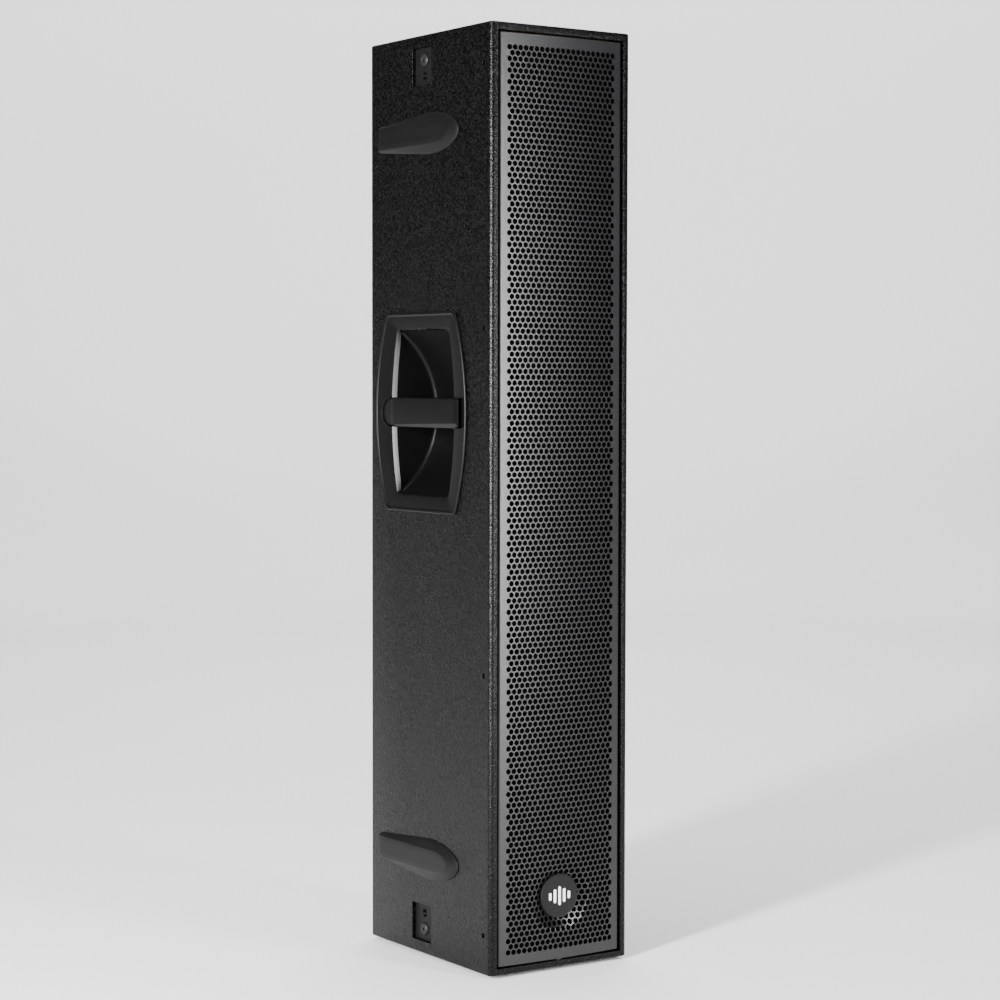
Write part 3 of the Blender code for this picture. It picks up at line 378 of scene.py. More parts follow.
def block(low, high):
    """A box between two corners."""
    outline = np.array([(low[0], low[1]), (high[0], low[1]), (high[0], high[1]), (low[0], high[1])], float)
    rings = [np.column_stack([outline, np.full(4, height)]) for height in (low[2], high[2])]
    return stack(rings)


def round_edges(piece, width, segments=3, angle=50.0):
    """Round the edges that are sharper than an angle, and keep the flats flat."""
    rounding = piece.modifiers.new("rounded_edges", "BEVEL")
    rounding.width = width
    rounding.segments = segments
    rounding.limit_method = "ANGLE"
    rounding.angle_limit = math.radians(angle)
    rounding.harden_normals = True


def through_side(side, outline):
    """A cutter of an outline in (Y, Z), through a side panel."""
    outline = np.asarray(outline, float)
    rings = [np.column_stack([np.full(len(outline), side * depth), outline])
             for depth in (INNER_X - CUT_PAST, SIDE_X + CUT_PAST)]
    return stack(rings)


def circle(radius, steps, centre=(0.0, 0.0)):
    """Points on a circle in a plane."""
    turn = np.arange(steps) * 2 * math.pi / steps
    return np.stack([centre[0] + radius * np.cos(turn), centre[1] + radius * np.sin(turn)], axis=-1)


def unit_square(corner_across, corner_up, side_steps=10, corner_steps=5):
    """Points round a square of half size 1, its corners ellipses of the two given half sizes."""
    arc = np.linspace(0, math.pi / 2, corner_steps + 1)
    along = np.linspace(0, 1, side_steps + 1)[1:-1, None]
    centres = ((1, 1), (-1, 1), (-1, -1), (1, -1))
    arcs = []
    for index, (across, up) in enumerate(centres):
        turn = arc + index * math.pi / 2
        arcs.append(np.stack([across * (1 - corner_across) + corner_across * np.cos(turn),
                              up * (1 - corner_up) + corner_up * np.sin(turn)], axis=-1))
    stretches = []
    for index in range(4):
        start = arcs[index][-1]
        stretches += [arcs[index], start + along * (arcs[(index + 1) % 4][0] - start)]
    return np.concatenate(stretches)


def barrel(half_height, half_end, half_middle, unit):
    """A unit square made a barrel: its width is the middle's less the bow times the height's square."""
    up = unit[:, 1]
    across = unit[:, 0] * (half_middle - (half_middle - half_end) * up ** 2)
    return np.stack([across, half_height * up], axis=-1)


edge_turn = np.linspace(0, math.pi / 2, 6)
lower_rings = [(END_EDGE * (1 - math.sin(turn)), BASE_Z + END_EDGE * (1 - math.cos(turn)))
               for turn in edge_turn]
upper_rings = [(inset, BASE_Z + TOP_Z - height) for inset, height in reversed(lower_rings)]
rings = []
for inset, height in lower_rings + upper_rings:
    outline = cabinet_ring(inset)
    rings.append(np.column_stack([outline, np.full(len(outline), height)]))
cabinet = add_surface("cabinet_shell", *stack(rings))
cut(cabinet, [block((-INNER_X, FRONT_Y - CUT_PAST, INNER_LOW_Z), (INNER_X, INNER_BACK_Y, INNER_HIGH_Z))])
grille_low, grille_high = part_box("grille")
GRILLE_GAP = 0.0026
REBATE_BACK_Y = -0.1085
cut(cabinet, [block((grille_low.x - GRILLE_GAP, FRONT_Y - CUT_PAST, grille_low.z - GRILLE_GAP),
                    (grille_high.x + GRILLE_GAP, REBATE_BACK_Y, grille_high.z + GRILLE_GAP))])
openings = [block((-INNER_X, INNER_BACK_Y - CUT_PAST, AMPLIFIER_LOW_Z),
                  (INNER_X, BACK_Y + CUT_PAST, AMPLIFIER_HIGH_Z))]
pole_low, pole_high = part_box("pole_socket")
POLE_Y = (pole_low.y + pole_high.y) / 2
POLE_HOLE = 0.0223
pole_outline = circle(POLE_HOLE, 48, (0, POLE_Y))
openings.append(stack([np.column_stack([pole_outline, np.full(len(pole_outline), height)])
                       for height in (-CUT_PAST, INNER_LOW_Z + CUT_PAST)]))
for side, side_name in SIDES.items():
    half_height, half_end, half_middle = [size + POCKET_CLEARANCE for size in POCKET]
    outline = barrel(half_height, half_end, half_middle, unit_square(0.05, 0.03))
    openings.append(through_side(side, outline + (POCKET_Y, HANDLE_Z)))
    for end in ("upper", "lower"):
        low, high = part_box(side_name + "_" + end + "_fly_plate")
        outline = [(low.y - FIT_GAP, low.z - FIT_GAP), (high.y + FIT_GAP, low.z - FIT_GAP),
                   (high.y + FIT_GAP, high.z + FIT_GAP), (low.y - FIT_GAP, high.z + FIT_GAP)]
        openings.append(through_side(side, outline))
    for index in range(1, 5):
        low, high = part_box(side_name + "_grille_screw_" + str(index))
        radius = (high.z - low.z) / 2 + FIT_GAP
        openings.append(through_side(side, circle(radius, 24, ((low.y + high.y) / 2, (low.z + high.z) / 2))))
cut(cabinet, openings)
round_edges(cabinet, ROUTED_EDGE)
cabinet.data.shade_smooth()
cabinet.data.set_sharp_from_angle(angle=math.radians(35))

paint = Finish("textured_paint", {"Specular IOR Level": 0.13})
pebbles = paint.noise(0.0017, 1.5)
grit = paint.noise(0.0008, 1.0)
haze = paint.noise(0.09, 3.0)
fleck = paint.noise(0.0026, 2.5).between(0.40, 0.64)
paint.set("Base Color", paint.mix(fleck, (0.0003, 0.0003, 0.0003), (0.0036, 0.0036, 0.0038)))
paint.set("Roughness", 0.20 + 0.08 * haze + 0.08 * pebbles - 0.04 * fleck)
paint.bumps((pebbles, 0.00050), (grit, 0.00015))
cabinet.data.materials.append(paint.material)
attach(cabinet, "cabinet")
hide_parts("left_side_panel", "right_side_panel", "top_panel", "bottom_panel", "upper_back_panel",
            "lower_back_panel")


# Grille.
# One sheet of 1.2 mm steel, punched with staggered round holes, bowed across, with its sides folded back.
# A shallow conical dish is pressed round the badge. The sheet is powder coated, and screwed at its sides.
SHEET = 0.0012
SHEET_HALF = grille_high.x
SHEET_SET_BACK = 0.0015
SHEET_EDGE_Y = FRONT_Y + SHEET_SET_BACK
SHEET_BOW = SHEET_EDGE_Y - grille_low.y
FOLD_RADIUS = 0.0022
FOLD_X = SHEET_HALF - FOLD_RADIUS
HOLE_RADIUS = 0.0032
BACK_HOLE_RADIUS = 0.00368              # the six-sided rear rim, whose flats touch the round hole
HOLE_PITCH = 0.00722
ROW_PITCH = 0.00654
HOLE_ROWS = 159
HOLES_Z = MIDDLE_Z - 0.0013
WIDE_ROW = 21
badge_low, badge_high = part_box("badge")
BADGE_Z = (badge_low.z + badge_high.z) / 2
DISH_RADIUS = 0.0400
DISH_FLOOR_RADIUS = 0.0262
DISH_DEPTH = 0.0055


def sheet_y(across, up):
    """The sheet's front: a parabola across the width, set back by a cone with a flat floor at the badge."""
    bowed = SHEET_EDGE_Y - SHEET_BOW * (1 - (across / SHEET_HALF) ** 2)
    distance = np.hypot(across, up - BADGE_Z)
    return bowed + DISH_DEPTH * np.clip((DISH_RADIUS - distance) / (DISH_RADIUS - DISH_FLOOR_RADIUS), 0, 1)


def punched_sheet():
    """Hexagonal cells in staggered rows, clamped to the sheet's rectangle.

    A punched cell is a 12-point hole in a hexagon at the front and a 6-point one at the back, with a wall
    between them. A plain cell is a fan round its centre. Side folds run through the cells' own edge points.
    """
    cell_x = HOLE_PITCH / 2
    tip = (cell_x ** 2 + ROW_PITCH ** 2) / (2 * ROW_PITCH)
    shoulder = ROW_PITCH - tip
    row = np.arange(-HOLE_ROWS // 2 - 3, HOLE_ROWS // 2 + 4)
    column = np.arange(-WIDE_ROW // 2 - 2, WIDE_ROW // 2 + 3)
    row, column = [axis.ravel() for axis in np.meshgrid(row, column, indexing="ij")]
    row = row + 0.0
    staggered = (np.abs(row) % 2 == 0) == (((HOLE_ROWS - 1) // 2) % 2 == 0)
    centre_x = np.where(staggered, column * HOLE_PITCH, (column + 0.5) * HOLE_PITCH)
    centre_z = HOLES_Z + row * ROW_PITCH
    widest = (WIDE_ROW - 1) / 2 * HOLE_PITCH + 0.0001
    under_badge = np.hypot(centre_x, centre_z - BADGE_Z) < DISH_FLOOR_RADIUS - HOLE_PITCH
    punched = (np.abs(row) <= (HOLE_ROWS - 1) / 2) & (np.abs(centre_x) <= widest) & ~under_badge
    hexagon = np.array([(0, tip), (-cell_x, shoulder), (-cell_x, -shoulder), (0, -tip), (cell_x, -shoulder),
                        (cell_x, shoulder)])
    twelfths = np.arange(12) * math.pi / 6
    sixths = np.arange(6) * math.pi / 3
    front_rim = HOLE_RADIUS * np.stack([-np.sin(twelfths), np.cos(twelfths)], axis=-1)
    back_rim = BACK_HOLE_RADIUS * np.stack([-np.sin(sixths), np.cos(sixths)], axis=-1)
    # one punched cell: points 0-11 front rim, 12-17 front hexagon, 18-23 back rim, 24-29 back hexagon
    cell = np.concatenate([front_rim, hexagon, back_rim, hexagon])
    depth = np.concatenate([np.zeros(18), np.ones(12)])
    faces = []
    for i in range(6):
        j = (i + 1) % 6
        first, half, last = 2 * i, 2 * i + 1, (2 * i + 2) % 12
        faces += [(12 + i, first, half), (12 + i, half, 12 + j), (12 + j, half, last)]
        faces += [(first, 18 + i, half), (half, 18 + i, 18 + j), (half, 18 + j, last)]
        faces += [(18 + i, 24 + i, 24 + j), (18 + i, 24 + j, 18 + j)]
    plain = np.concatenate([[(0, 0)], hexagon, [(0, 0)], hexagon])
    plain_depth = np.concatenate([np.zeros(7), np.ones(7)])
    plain_faces = []
    for i in range(6):
        j = (i + 1) % 6
        plain_faces += [(0, 1 + j, 1 + i), (7, 8 + i, 8 + j)]

    def spread(chosen, template, levels, triangles):
        flat = np.stack([centre_x[chosen], centre_z[chosen]], axis=-1)[:, None, :] + template[None]
        level = np.broadcast_to(levels, flat.shape[:2]).reshape(-1)
        first = np.arange(chosen.sum())[:, None, None] * len(template)
        return flat.reshape(-1, 2), level, (first + np.array(triangles)[None]).reshape(-1, 3)

    flat_a, level_a, faces_a = spread(punched, cell, depth, faces)
    flat_b, level_b, faces_b = spread(~punched, plain, plain_depth, plain_faces)
    flat = np.concatenate([flat_a, flat_b])
    level = np.concatenate([level_a, level_b])
    faces = np.concatenate([faces_a, faces_b + len(flat_a)])
    flat = np.stack([np.clip(flat[:, 0], -FOLD_X, FOLD_X), np.clip(flat[:, 1], grille_low.z, grille_high.z)],
                    axis=-1)
    # weld by the place on a fine grid, then drop the triangles that the clamping has closed up
    key = np.round(np.column_stack([flat / 0.00001, level]) + 0.01).astype(np.int64)
    _, kept, index = np.unique(key, axis=0, return_index=True, return_inverse=True)
    flat, level, faces = flat[kept], level[kept], index.reshape(-1)[faces]
    sides = flat[faces[:, 1]] - flat[faces[:, 0]], flat[faces[:, 2]] - flat[faces[:, 0]]
    area = np.abs(sides[0][:, 0] * sides[1][:, 1] - sides[0][:, 1] * sides[1][:, 0])
    whole = (faces[:, 0] != faces[:, 1]) & (faces[:, 1] != faces[:, 2]) & (faces[:, 0] != faces[:, 2])
    walls = np.ptp(level[faces], axis=1) > 0
    faces = faces[whole & (walls | (area > 1e-12))]
    points = np.column_stack([flat[:, 0], sheet_y(flat[:, 0], flat[:, 1]) + SHEET * level, flat[:, 1]])
    return points, faces


def side_folds(points):
    """The folded sides: from each front edge point round the bend, down the flange, and back inside it."""
    solids = []
    turn = np.linspace(0, math.pi / 2, 5)
    for side in SIDES:
        rim = np.unique(np.round(points[np.abs(points[:, 0] - side * FOLD_X) < 1e-6][:, 2], 7))
        start_y = sheet_y(np.full(len(rim), side * FOLD_X), rim)[:, None]
        inner = FOLD_RADIUS - SHEET
        across = np.concatenate([FOLD_X + FOLD_RADIUS * np.sin(turn), [SHEET_HALF, SHEET_HALF - SHEET],
                                 FOLD_X + inner * np.sin(turn[::-1])])
        back = np.concatenate([FOLD_RADIUS - FOLD_RADIUS * np.cos(turn), [np.nan, np.nan],
                               FOLD_RADIUS - inner * np.cos(turn[::-1])])
        deep = np.where(np.isnan(back), grille_high.y, start_y + back)
        strip = np.stack([np.broadcast_to(side * across, deep.shape), deep,
                          np.broadcast_to(rim[:, None], deep.shape)], axis=-1)
        faces = grid_faces(len(rim), len(across)).tolist()
        faces.append(list(range(len(across))))
        faces.append(list(range((len(rim) - 1) * len(across), len(rim) * len(across))))
        solids.append((strip, faces))
    return solids


def end_walls(points):
    """The sheet's cut edges at its top and bottom: a strip from its front edge points to its back ones."""
    solids = []
    for height in (grille_low.z, grille_high.z):
        rim = np.unique(np.round(points[np.abs(points[:, 2] - height) < 1e-6][:, 0], 7))
        front = sheet_y(rim, np.full(len(rim), height))
        strip = np.stack([np.stack([rim, front + SHEET * level, np.full(len(rim), height)], axis=-1)
                          for level in (0, 1)])
        solids.append((strip, grid_faces(2, len(rim))))
    return solids


sheet_points, sheet_faces = punched_sheet()
grille = add_surface("front_grille", *joined([(sheet_points, sheet_faces.tolist())] + side_folds(sheet_points)
                                             + end_walls(sheet_points)), merge=0.000012, sharp=40)


def mottled(name, sockets, blotch, grain, dark, light, roughness, depth):
    """A finish whose colour follows a coarse noise, and whose relief, that many metres deep, a fine one.

    blotch and grain are each a noise's size, detail and stretch. The roughness is its first value, plus its
    second times the coarse noise, plus its third times the fine one.
    """
    finish = Finish(name, sockets)
    coarse = finish.noise(*blotch)
    fine = finish.noise(*grain)
    finish.set("Base Color", finish.mix(coarse, dark, light))
    finish.set("Roughness", roughness[0] + roughness[1] * coarse + roughness[2] * fine)
    finish.bumps((fine, depth))
    return finish


coat = mottled("grille_coat", {"Specular IOR Level": 0.42}, (0.03, 3.0), (0.0011, 2.0),
               (0.0055, 0.0055, 0.0060), (0.0075, 0.0075, 0.0080), (0.25, 0.04, 0.05), 0.00012)
grille.data.materials.append(coat.material)
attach(grille, "cabinet")
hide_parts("grille")

# A small lug on the bottom frame holds the sheet's lower edge at the middle.
LUG_HALF = 0.0035
LUG_FRONT_Y = FRONT_Y + 0.0012
LUG_BACK_Y = FRONT_Y + 0.006
LUG_SLACK = 0.0001
lug = add_surface("grille_lug", *block((-LUG_HALF, LUG_FRONT_Y, grille_low.z - GRILLE_GAP),
                                       (LUG_HALF, LUG_BACK_Y, grille_low.z - LUG_SLACK)))
round_edges(lug, 0.0004, 2)
lug.data.materials.append(coat.material)
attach(lug, "cabinet")


# Foam.
# A thin sheet of open-cell black foam glued behind the grille, which hides the drivers and keeps dust out.
# It bellies very slightly between its glue lines.
foam_low, foam_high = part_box("grille_foam")
FOAM_COLUMNS = 41
FOAM_ROWS = 201
foam_across = np.linspace(-1, 1, FOAM_COLUMNS)
foam_up = np.linspace(0, 1, FOAM_ROWS)
up_grid, across_grid = np.meshgrid(foam_up, foam_across, indexing="ij")
FOAM_BELLY = 0.0006
FOAM_MARGIN = 0.0003
belly = FOAM_BELLY * (0.5 + 0.5 * np.sin(9 * math.pi * up_grid) * np.cos(2.5 * math.pi * across_grid))
foam_x = (foam_high.x - FOAM_MARGIN) * across_grid
foam_z = foam_low.z + FOAM_MARGIN + (foam_high.z - foam_low.z - 2 * FOAM_MARGIN) * up_grid
foam_skins = [np.stack([foam_x, foam_low.y + FOAM_MARGIN + belly, foam_z], axis=-1),
              np.stack([foam_x, np.full_like(foam_x, foam_high.y - FOAM_MARGIN), foam_z], axis=-1)]
foam_faces = grid_faces(FOAM_ROWS, FOAM_COLUMNS)
front_skin, back_skin = foam_skins
rim_order = [(0, slice(None)), (slice(None), -1), (-1, slice(None, None, -1)), (slice(None, None, -1), 0)]
rim = np.concatenate([np.stack([skin[place] for skin in foam_skins], axis=1) for place in rim_order])
foam = add_surface("grille_foam_sheet", *joined([(front_skin, foam_faces), (back_skin, foam_faces),
                                                 (rim, grid_faces(len(rim), 2))]), merge=0.00001)
sponge = Finish("open_foam", {"Specular IOR Level": 0.02, "Roughness": 0.98})
pore_relief_and_shade = sponge.cells(0.0016)
# the colour is darker at the cell centres, where the bump sinks the pores: painted shade in the pores
sponge.set("Base Color", sponge.mix(pore_relief_and_shade.between(0.1, 0.6), (0.0003, 0.0003, 0.0003),
                                    (0.0014, 0.0014, 0.0014)))
sponge.bumps((pore_relief_and_shade, 0.0006))
foam.data.materials.append(sponge.material)
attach(foam, "cabinet")
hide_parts("grille_foam")


# Badge.
# A moulded disc pushed into the dish of the grille, with a raised rim and a plain satin face.
# Its mark is five printed upright bars, like a sound level. It stands for no maker.


def softened(corners, steps=4):
    """A profile of (radius, height, cut) corners. A corner with a cut gives way to a quadratic curve.

    The curve starts and ends that far along the corner's two legs, and is tangent to both.
    """
    corners = np.asarray(corners, float)
    share = np.linspace(0, 1, steps + 1)[:, None]
    stretches = []
    for index, corner in enumerate(corners):
        here = corner[:2]
        if corner[2] == 0:
            stretches.append(here[None])
            continue
        before = corners[index - 1, :2] - here
        after = corners[index + 1, :2] - here
        start = here + before * corner[2] / np.linalg.norm(before)
        end = here + after * corner[2] / np.linalg.norm(after)
        stretches.append((1 - share) ** 2 * start + 2 * share * (1 - share) * here + share ** 2 * end)
    return np.concatenate(stretches)


BADGE_RADIUS = (badge_high.x - badge_low.x) / 2
badge_face = badge_high.y - badge_low.y
BADGE_RIM = 0.0008
badge_profile = softened([(0, badge_face - 0.0004, 0), (BADGE_RADIUS - 0.0022, badge_face - 0.0004, 0.0003),
                          (BADGE_RADIUS - BADGE_RIM, badge_face, 0.0004),
                          (BADGE_RADIUS, badge_face - 0.0006, 0.0004), (BADGE_RADIUS, 0, 0), (0, 0, 0)])
badge = add_surface("badge_disc", *turned(badge_profile, 72, (0, badge_high.y, BADGE_Z), "front"))
satin = mottled("badge_plastic", {"Specular IOR Level": 0.16}, (0.01, 2.0), (0.0006, 2.0),
                (0.0026, 0.0026, 0.0029), (0.0038, 0.0038, 0.0041), (0.50, 0.0, 0.10), 0.00003)
badge.data.materials.append(satin.material)
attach(badge, "cabinet")
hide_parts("badge")

BAR_WIDTH = 0.0034
BAR_PITCH = 0.0066
BAR_HEIGHTS = (0.009, 0.016, 0.022, 0.016, 0.009)
mark_y = badge_low.y + 0.0004
bars = []
for index, height in enumerate(BAR_HEIGHTS):
    across = (index - 2) * BAR_PITCH
    square = unit_square(1.0, BAR_WIDTH / height, 4, 5)
    outline = square * (BAR_WIDTH / 2, height / 2) + (across, BADGE_Z)
    bars.append(stack([np.column_stack([outline[:, 0], np.full(len(outline), depth), outline[:, 1]])
                       for depth in (mark_y + 0.0002, mark_y - 0.00025)]))
mark = add_surface("badge_mark", *joined(bars))
print_white = mottled("white_print", {"Specular IOR Level": 0.4}, (0.0009, 2.0), (0.0009, 2.0),
                      (0.80, 0.80, 0.80), (0.90, 0.90, 0.90), (0.45, 0.15, 0.0), 0.00002)
mark.data.materials.append(print_white.material)
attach(mark, "cabinet")


# Grille screws.
# Four black steel screws in each side panel clamp the grille's folded sides. They have round heads with a
# hexagonal key socket, sunk in plain holes.
black_zinc = mottled("black_screw", {"Specular IOR Level": 0.3, "Metallic": 0.3}, (0.004, 3.0), (0.0005, 2.0),
                     (0.006, 0.006, 0.0065), (0.012, 0.012, 0.0125), (0.38, 0.20, 0.0), 0.00004)
SCREW_SINK = 0.0018
for side, side_name in SIDES.items():
    for index in range(1, 5):
        node = side_name + "_grille_screw_" + str(index)
        low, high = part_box(node)
        radius = (high.z - low.z) / 2
        length = high.x - low.x - SCREW_SINK
        profile = [(0, length - 0.0019), (0.0012, length - 0.0019), (0.0012, length - 0.0003),
                   (0.00135, length - 0.0001), (radius - 0.0006, length), (radius - 0.0001, length - 0.0004),
                   (radius, length - 0.0009), (radius, 0), (0, 0)]
        sides = (0, 6, 6, 6, 0, 0, 0, 0, 0)
        place = (side * (abs(low.x) if side > 0 else abs(high.x)), (low.y + high.y) / 2, (low.z + high.z) / 2)
        screw = add_surface("grille_screw_" + side_name + "_" + str(index),
                            *turned(profile, 24, place, side_name, sides))
        screw.data.materials.append(black_zinc.material)
        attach(screw, "cabinet")
        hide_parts(node)


# Skids.
# Moulded rubber tongues glued to the sides near both ends, so that the cabinet can lie down or slide in.
# Each has a straight back, a rounded tip, sloping flanks and a flat top, with a thin flash line at its foot.
skid_low, skid_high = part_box("left_upper_skid")
SKID_BACK_Y = 0.1070
SKID_TIP_Y = skid_low.y
SKID_WIDE_Y = 0.0
SKID_WIDE = (skid_high.z - skid_low.z) / 2
SKID_BACK = 0.016


def tongue(back, wide, tip, half_back, half_wide, steps=28):
    """A tongue's outline: a straight back, two sides that widen, and a half ellipse for a tip."""
    turn = np.linspace(-math.pi / 2, -3 * math.pi / 2, 2 * steps + 1)
    tip_arc = np.stack([wide + (wide - tip) * np.cos(turn), half_wide * np.sin(turn)], axis=-1)
    along = np.linspace(0, 1, 9)[:, None]
    lower = np.array([[back, -half_back]]) * (1 - along) + tip_arc[:1] * along
    upper = lower[::-1] * (1, -1)
    return np.concatenate([lower[:-1], tip_arc, upper[1:]])


# each ring: outline inputs, then its height off the panel
SKID_RINGS = (((SKID_BACK_Y, SKID_WIDE_Y, SKID_TIP_Y, SKID_BACK, SKID_WIDE), 0.0003),
              ((SKID_BACK_Y, SKID_WIDE_Y, SKID_TIP_Y, SKID_BACK, SKID_WIDE), 0.0009),
              ((SKID_BACK_Y - 0.0003, SKID_WIDE_Y, SKID_TIP_Y + 0.0006, SKID_BACK - 0.0004,
                SKID_WIDE - 0.0005), 0.0013),
              ((0.1065, -0.0060, -0.0565, 0.0150, 0.0190), 0.0032),
              ((0.1064, -0.0140, -0.0478, 0.0136, 0.0137), 0.0049),
              ((0.1061, -0.0150, -0.0462, 0.0131, 0.0129), 0.0053),
              ((0.1054, -0.0155, -0.0450, 0.0124, 0.0121), 0.0055),
              ((0.1000, -0.0160, -0.0380, 0.0060, 0.0060), 0.0055),
              ((0.0900, -0.0200, -0.0300, 0.0, 0.0), 0.0055))
rubber = mottled("moulded_rubber", {"Specular IOR Level": 0.14}, (0.02, 4.0), (0.0007, 2.0),
                 (0.0022, 0.0022, 0.0023), (0.0034, 0.0034, 0.0036), (0.36, 0.12, 0.0), 0.00005)
for side, side_name in SIDES.items():
    for end in ("upper", "lower"):
        node = side_name + "_" + end + "_skid"
        low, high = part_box(node)
        centre_z = (low.z + high.z) / 2
        rings = []
        for outline_inputs, height in SKID_RINGS:
            outline = tongue(*outline_inputs)
            rings.append(np.column_stack([np.full(len(outline), side * (SIDE_X + height)), outline[:, 0],
                                          centre_z + outline[:, 1]]))
        count = len(rings[0])
        faces = grid_faces(len(rings), count, closed_columns=True).tolist() + [list(range(count))]
        skid = add_surface("side_skid_" + side_name + "_" + end, np.concatenate(rings), faces, sharp=28)
        skid.data.materials.append(rubber.material)
        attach(skid, "cabinet")
        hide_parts(node)


# Handles.
# Injection-moulded pockets screwed in from inside. The flange has a raised bead and straight ends. The mouth
# is bowed, and its walls draft in to straight sides along a floor that is part of a cylinder.
FLANGE_Y = 0.0190
FLANGE = (0.1182, 0.0762, 0.1002)
POCKET_FLOOR_HALF = 0.0552
POCKET_DEPTH = 0.055
FLOOR_RADIUS = 0.1171
CUP_WALL = 0.0014
LIP_DEPTH = 0.0032
LIP_WIDTH = 0.0042
FLOOR_FILLET = 0.0065


def pocket_floor(up):
    """The floor's depth behind the panel at a height from the handle's middle: an arc of the floor radius."""
    return np.sqrt(np.maximum(FLOOR_RADIUS ** 2 - up ** 2, 0)) - (FLOOR_RADIUS - POCKET_DEPTH)


def cup_rings():
    """Rings of (along, up, out) from the flange's edge inwards to the pocket's centre line."""
    unit = unit_square(0.06, 0.04, 16, 5)
    rings = []
    # the flange: distance in from its edge, and height off the panel
    for inset, out in ((0, 0.0002), (0, 0.0012), (0.0005, 0.0021), (0.0014, 0.0027), (0.0028, 0.0027),
                       (0.0038, 0.0021), (0.0046, 0.0015), (0.0056, 0.0014)):
        outline = barrel(*[size - inset for size in FLANGE], unit)
        rings.append(np.column_stack([outline[:, 0] + FLANGE_Y, outline[:, 1], np.full(len(outline), out)]))
    # the mouth's rounded rim: how far out from the opening, and height off the panel
    for outset, out in ((0.0016, 0.0011), (0.0006, 0.0008), (0.0, 0.0002)):
        outline = barrel(*[size + outset for size in POCKET], unit)
        rings.append(np.column_stack([outline[:, 0] + POCKET_Y, outline[:, 1], np.full(len(outline), out)]))
    mouth = barrel(*POCKET, unit)
    up = mouth[:, 1]
    floor = pocket_floor(up)
    sign = np.sign(mouth[:, 0])
    share = np.abs(unit[:, 0])
    lip_share = np.minimum(LIP_DEPTH, floor) / LIP_DEPTH
    lip_half = np.abs(mouth[:, 0]) - LIP_WIDTH * lip_share * share
    fillet = np.minimum(FLOOR_FILLET, 0.7 * floor)
    foot_half = POCKET_FLOOR_HALF * share
    for depth_share in (0.5, 1.0):
        deep = np.minimum(LIP_DEPTH, 0.3 * floor) * depth_share
        half = np.abs(mouth[:, 0]) + (lip_half - np.abs(mouth[:, 0])) * depth_share
        rings.append(np.column_stack([sign * half + POCKET_Y, up, -deep]))
    wall_top = np.minimum(LIP_DEPTH, 0.3 * floor)
    for step in np.linspace(0.1, 1.0, 6):
        deep = wall_top + (floor - fillet - wall_top) * step
        half = lip_half + (foot_half - lip_half) * step
        rings.append(np.column_stack([sign * half + POCKET_Y, up, -deep]))
    for turn in np.linspace(math.pi / 14, math.pi / 2, 7):
        deep = floor - fillet * (1 - math.sin(turn))
        half = np.maximum(foot_half - fillet * (1 - math.cos(turn)), 0)
        rings.append(np.column_stack([sign * half + POCKET_Y, up, -deep]))
    last = rings[-1]
    for scale in (0.75, 0.5, 0.25, 0.0):
        rings.append(np.column_stack([(last[:, 0] - POCKET_Y) * scale + POCKET_Y, up, -floor]))
    return np.stack(rings)


plastic = mottled("moulded_plastic", {"Specular IOR Level": 0.14}, (0.035, 3.0), (0.0006, 2.0),
                  (0.0012, 0.0012, 0.0013), (0.0020, 0.0020, 0.0022), (0.28, 0.08, 0.05), 0.00007)
ring_grid = cup_rings()
for side, side_name in SIDES.items():
    points = np.stack([side * (SIDE_X + ring_grid[..., 2]), ring_grid[..., 0],
                       ring_grid[..., 1] + HANDLE_Z], axis=-1)
    faces = grid_faces(len(ring_grid), ring_grid.shape[1], closed_columns=True)
    cup = add_surface("handle_pocket_" + side_name, points, faces, outwards=(side, 0, 0), sharp=20)
    wall = cup.modifiers.new("wall", "SOLIDIFY")
    wall.thickness = CUP_WALL
    wall.offset = -1.0
    cup.data.materials.append(plastic.material)
    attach(cup, "cabinet")
    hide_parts(side_name + "_handle_cup")

# The grip bar is moulded apart and snaps across the pocket: a flat face, a long bevel under it, a sloped
# front end, and a round rear end that drops into a ring on the flange.
grip_low, grip_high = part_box("left_handle_grip")
GRIP_HALF = (grip_high.z - grip_low.z) / 2
GRIP_OUT = -SIDE_X - grip_low.x
GRIP_FRONT_Y = grip_low.y
GRIP_RING_Y = 0.0838
GRIP_RING = 0.0192
GRIP_TONGUE = 0.0166


def grip_section(height, facet, half, inner):
    """The bar's outline in (out, up): a flat face, a lower facet that tall, and a rounded back."""
    corners = [(inner, 0.0, 0), (inner, half, 0.3 * half), (height * 0.6, half, 0.0003),
               (height, half - 0.0012, 0.0006), (height, -half + facet, 0.0003),
               (0.4 * height, -half, 0.0003), (inner, -half, 0.3 * half), (inner, 0.0, 0)]
    return softened(corners, 4)[:-1]


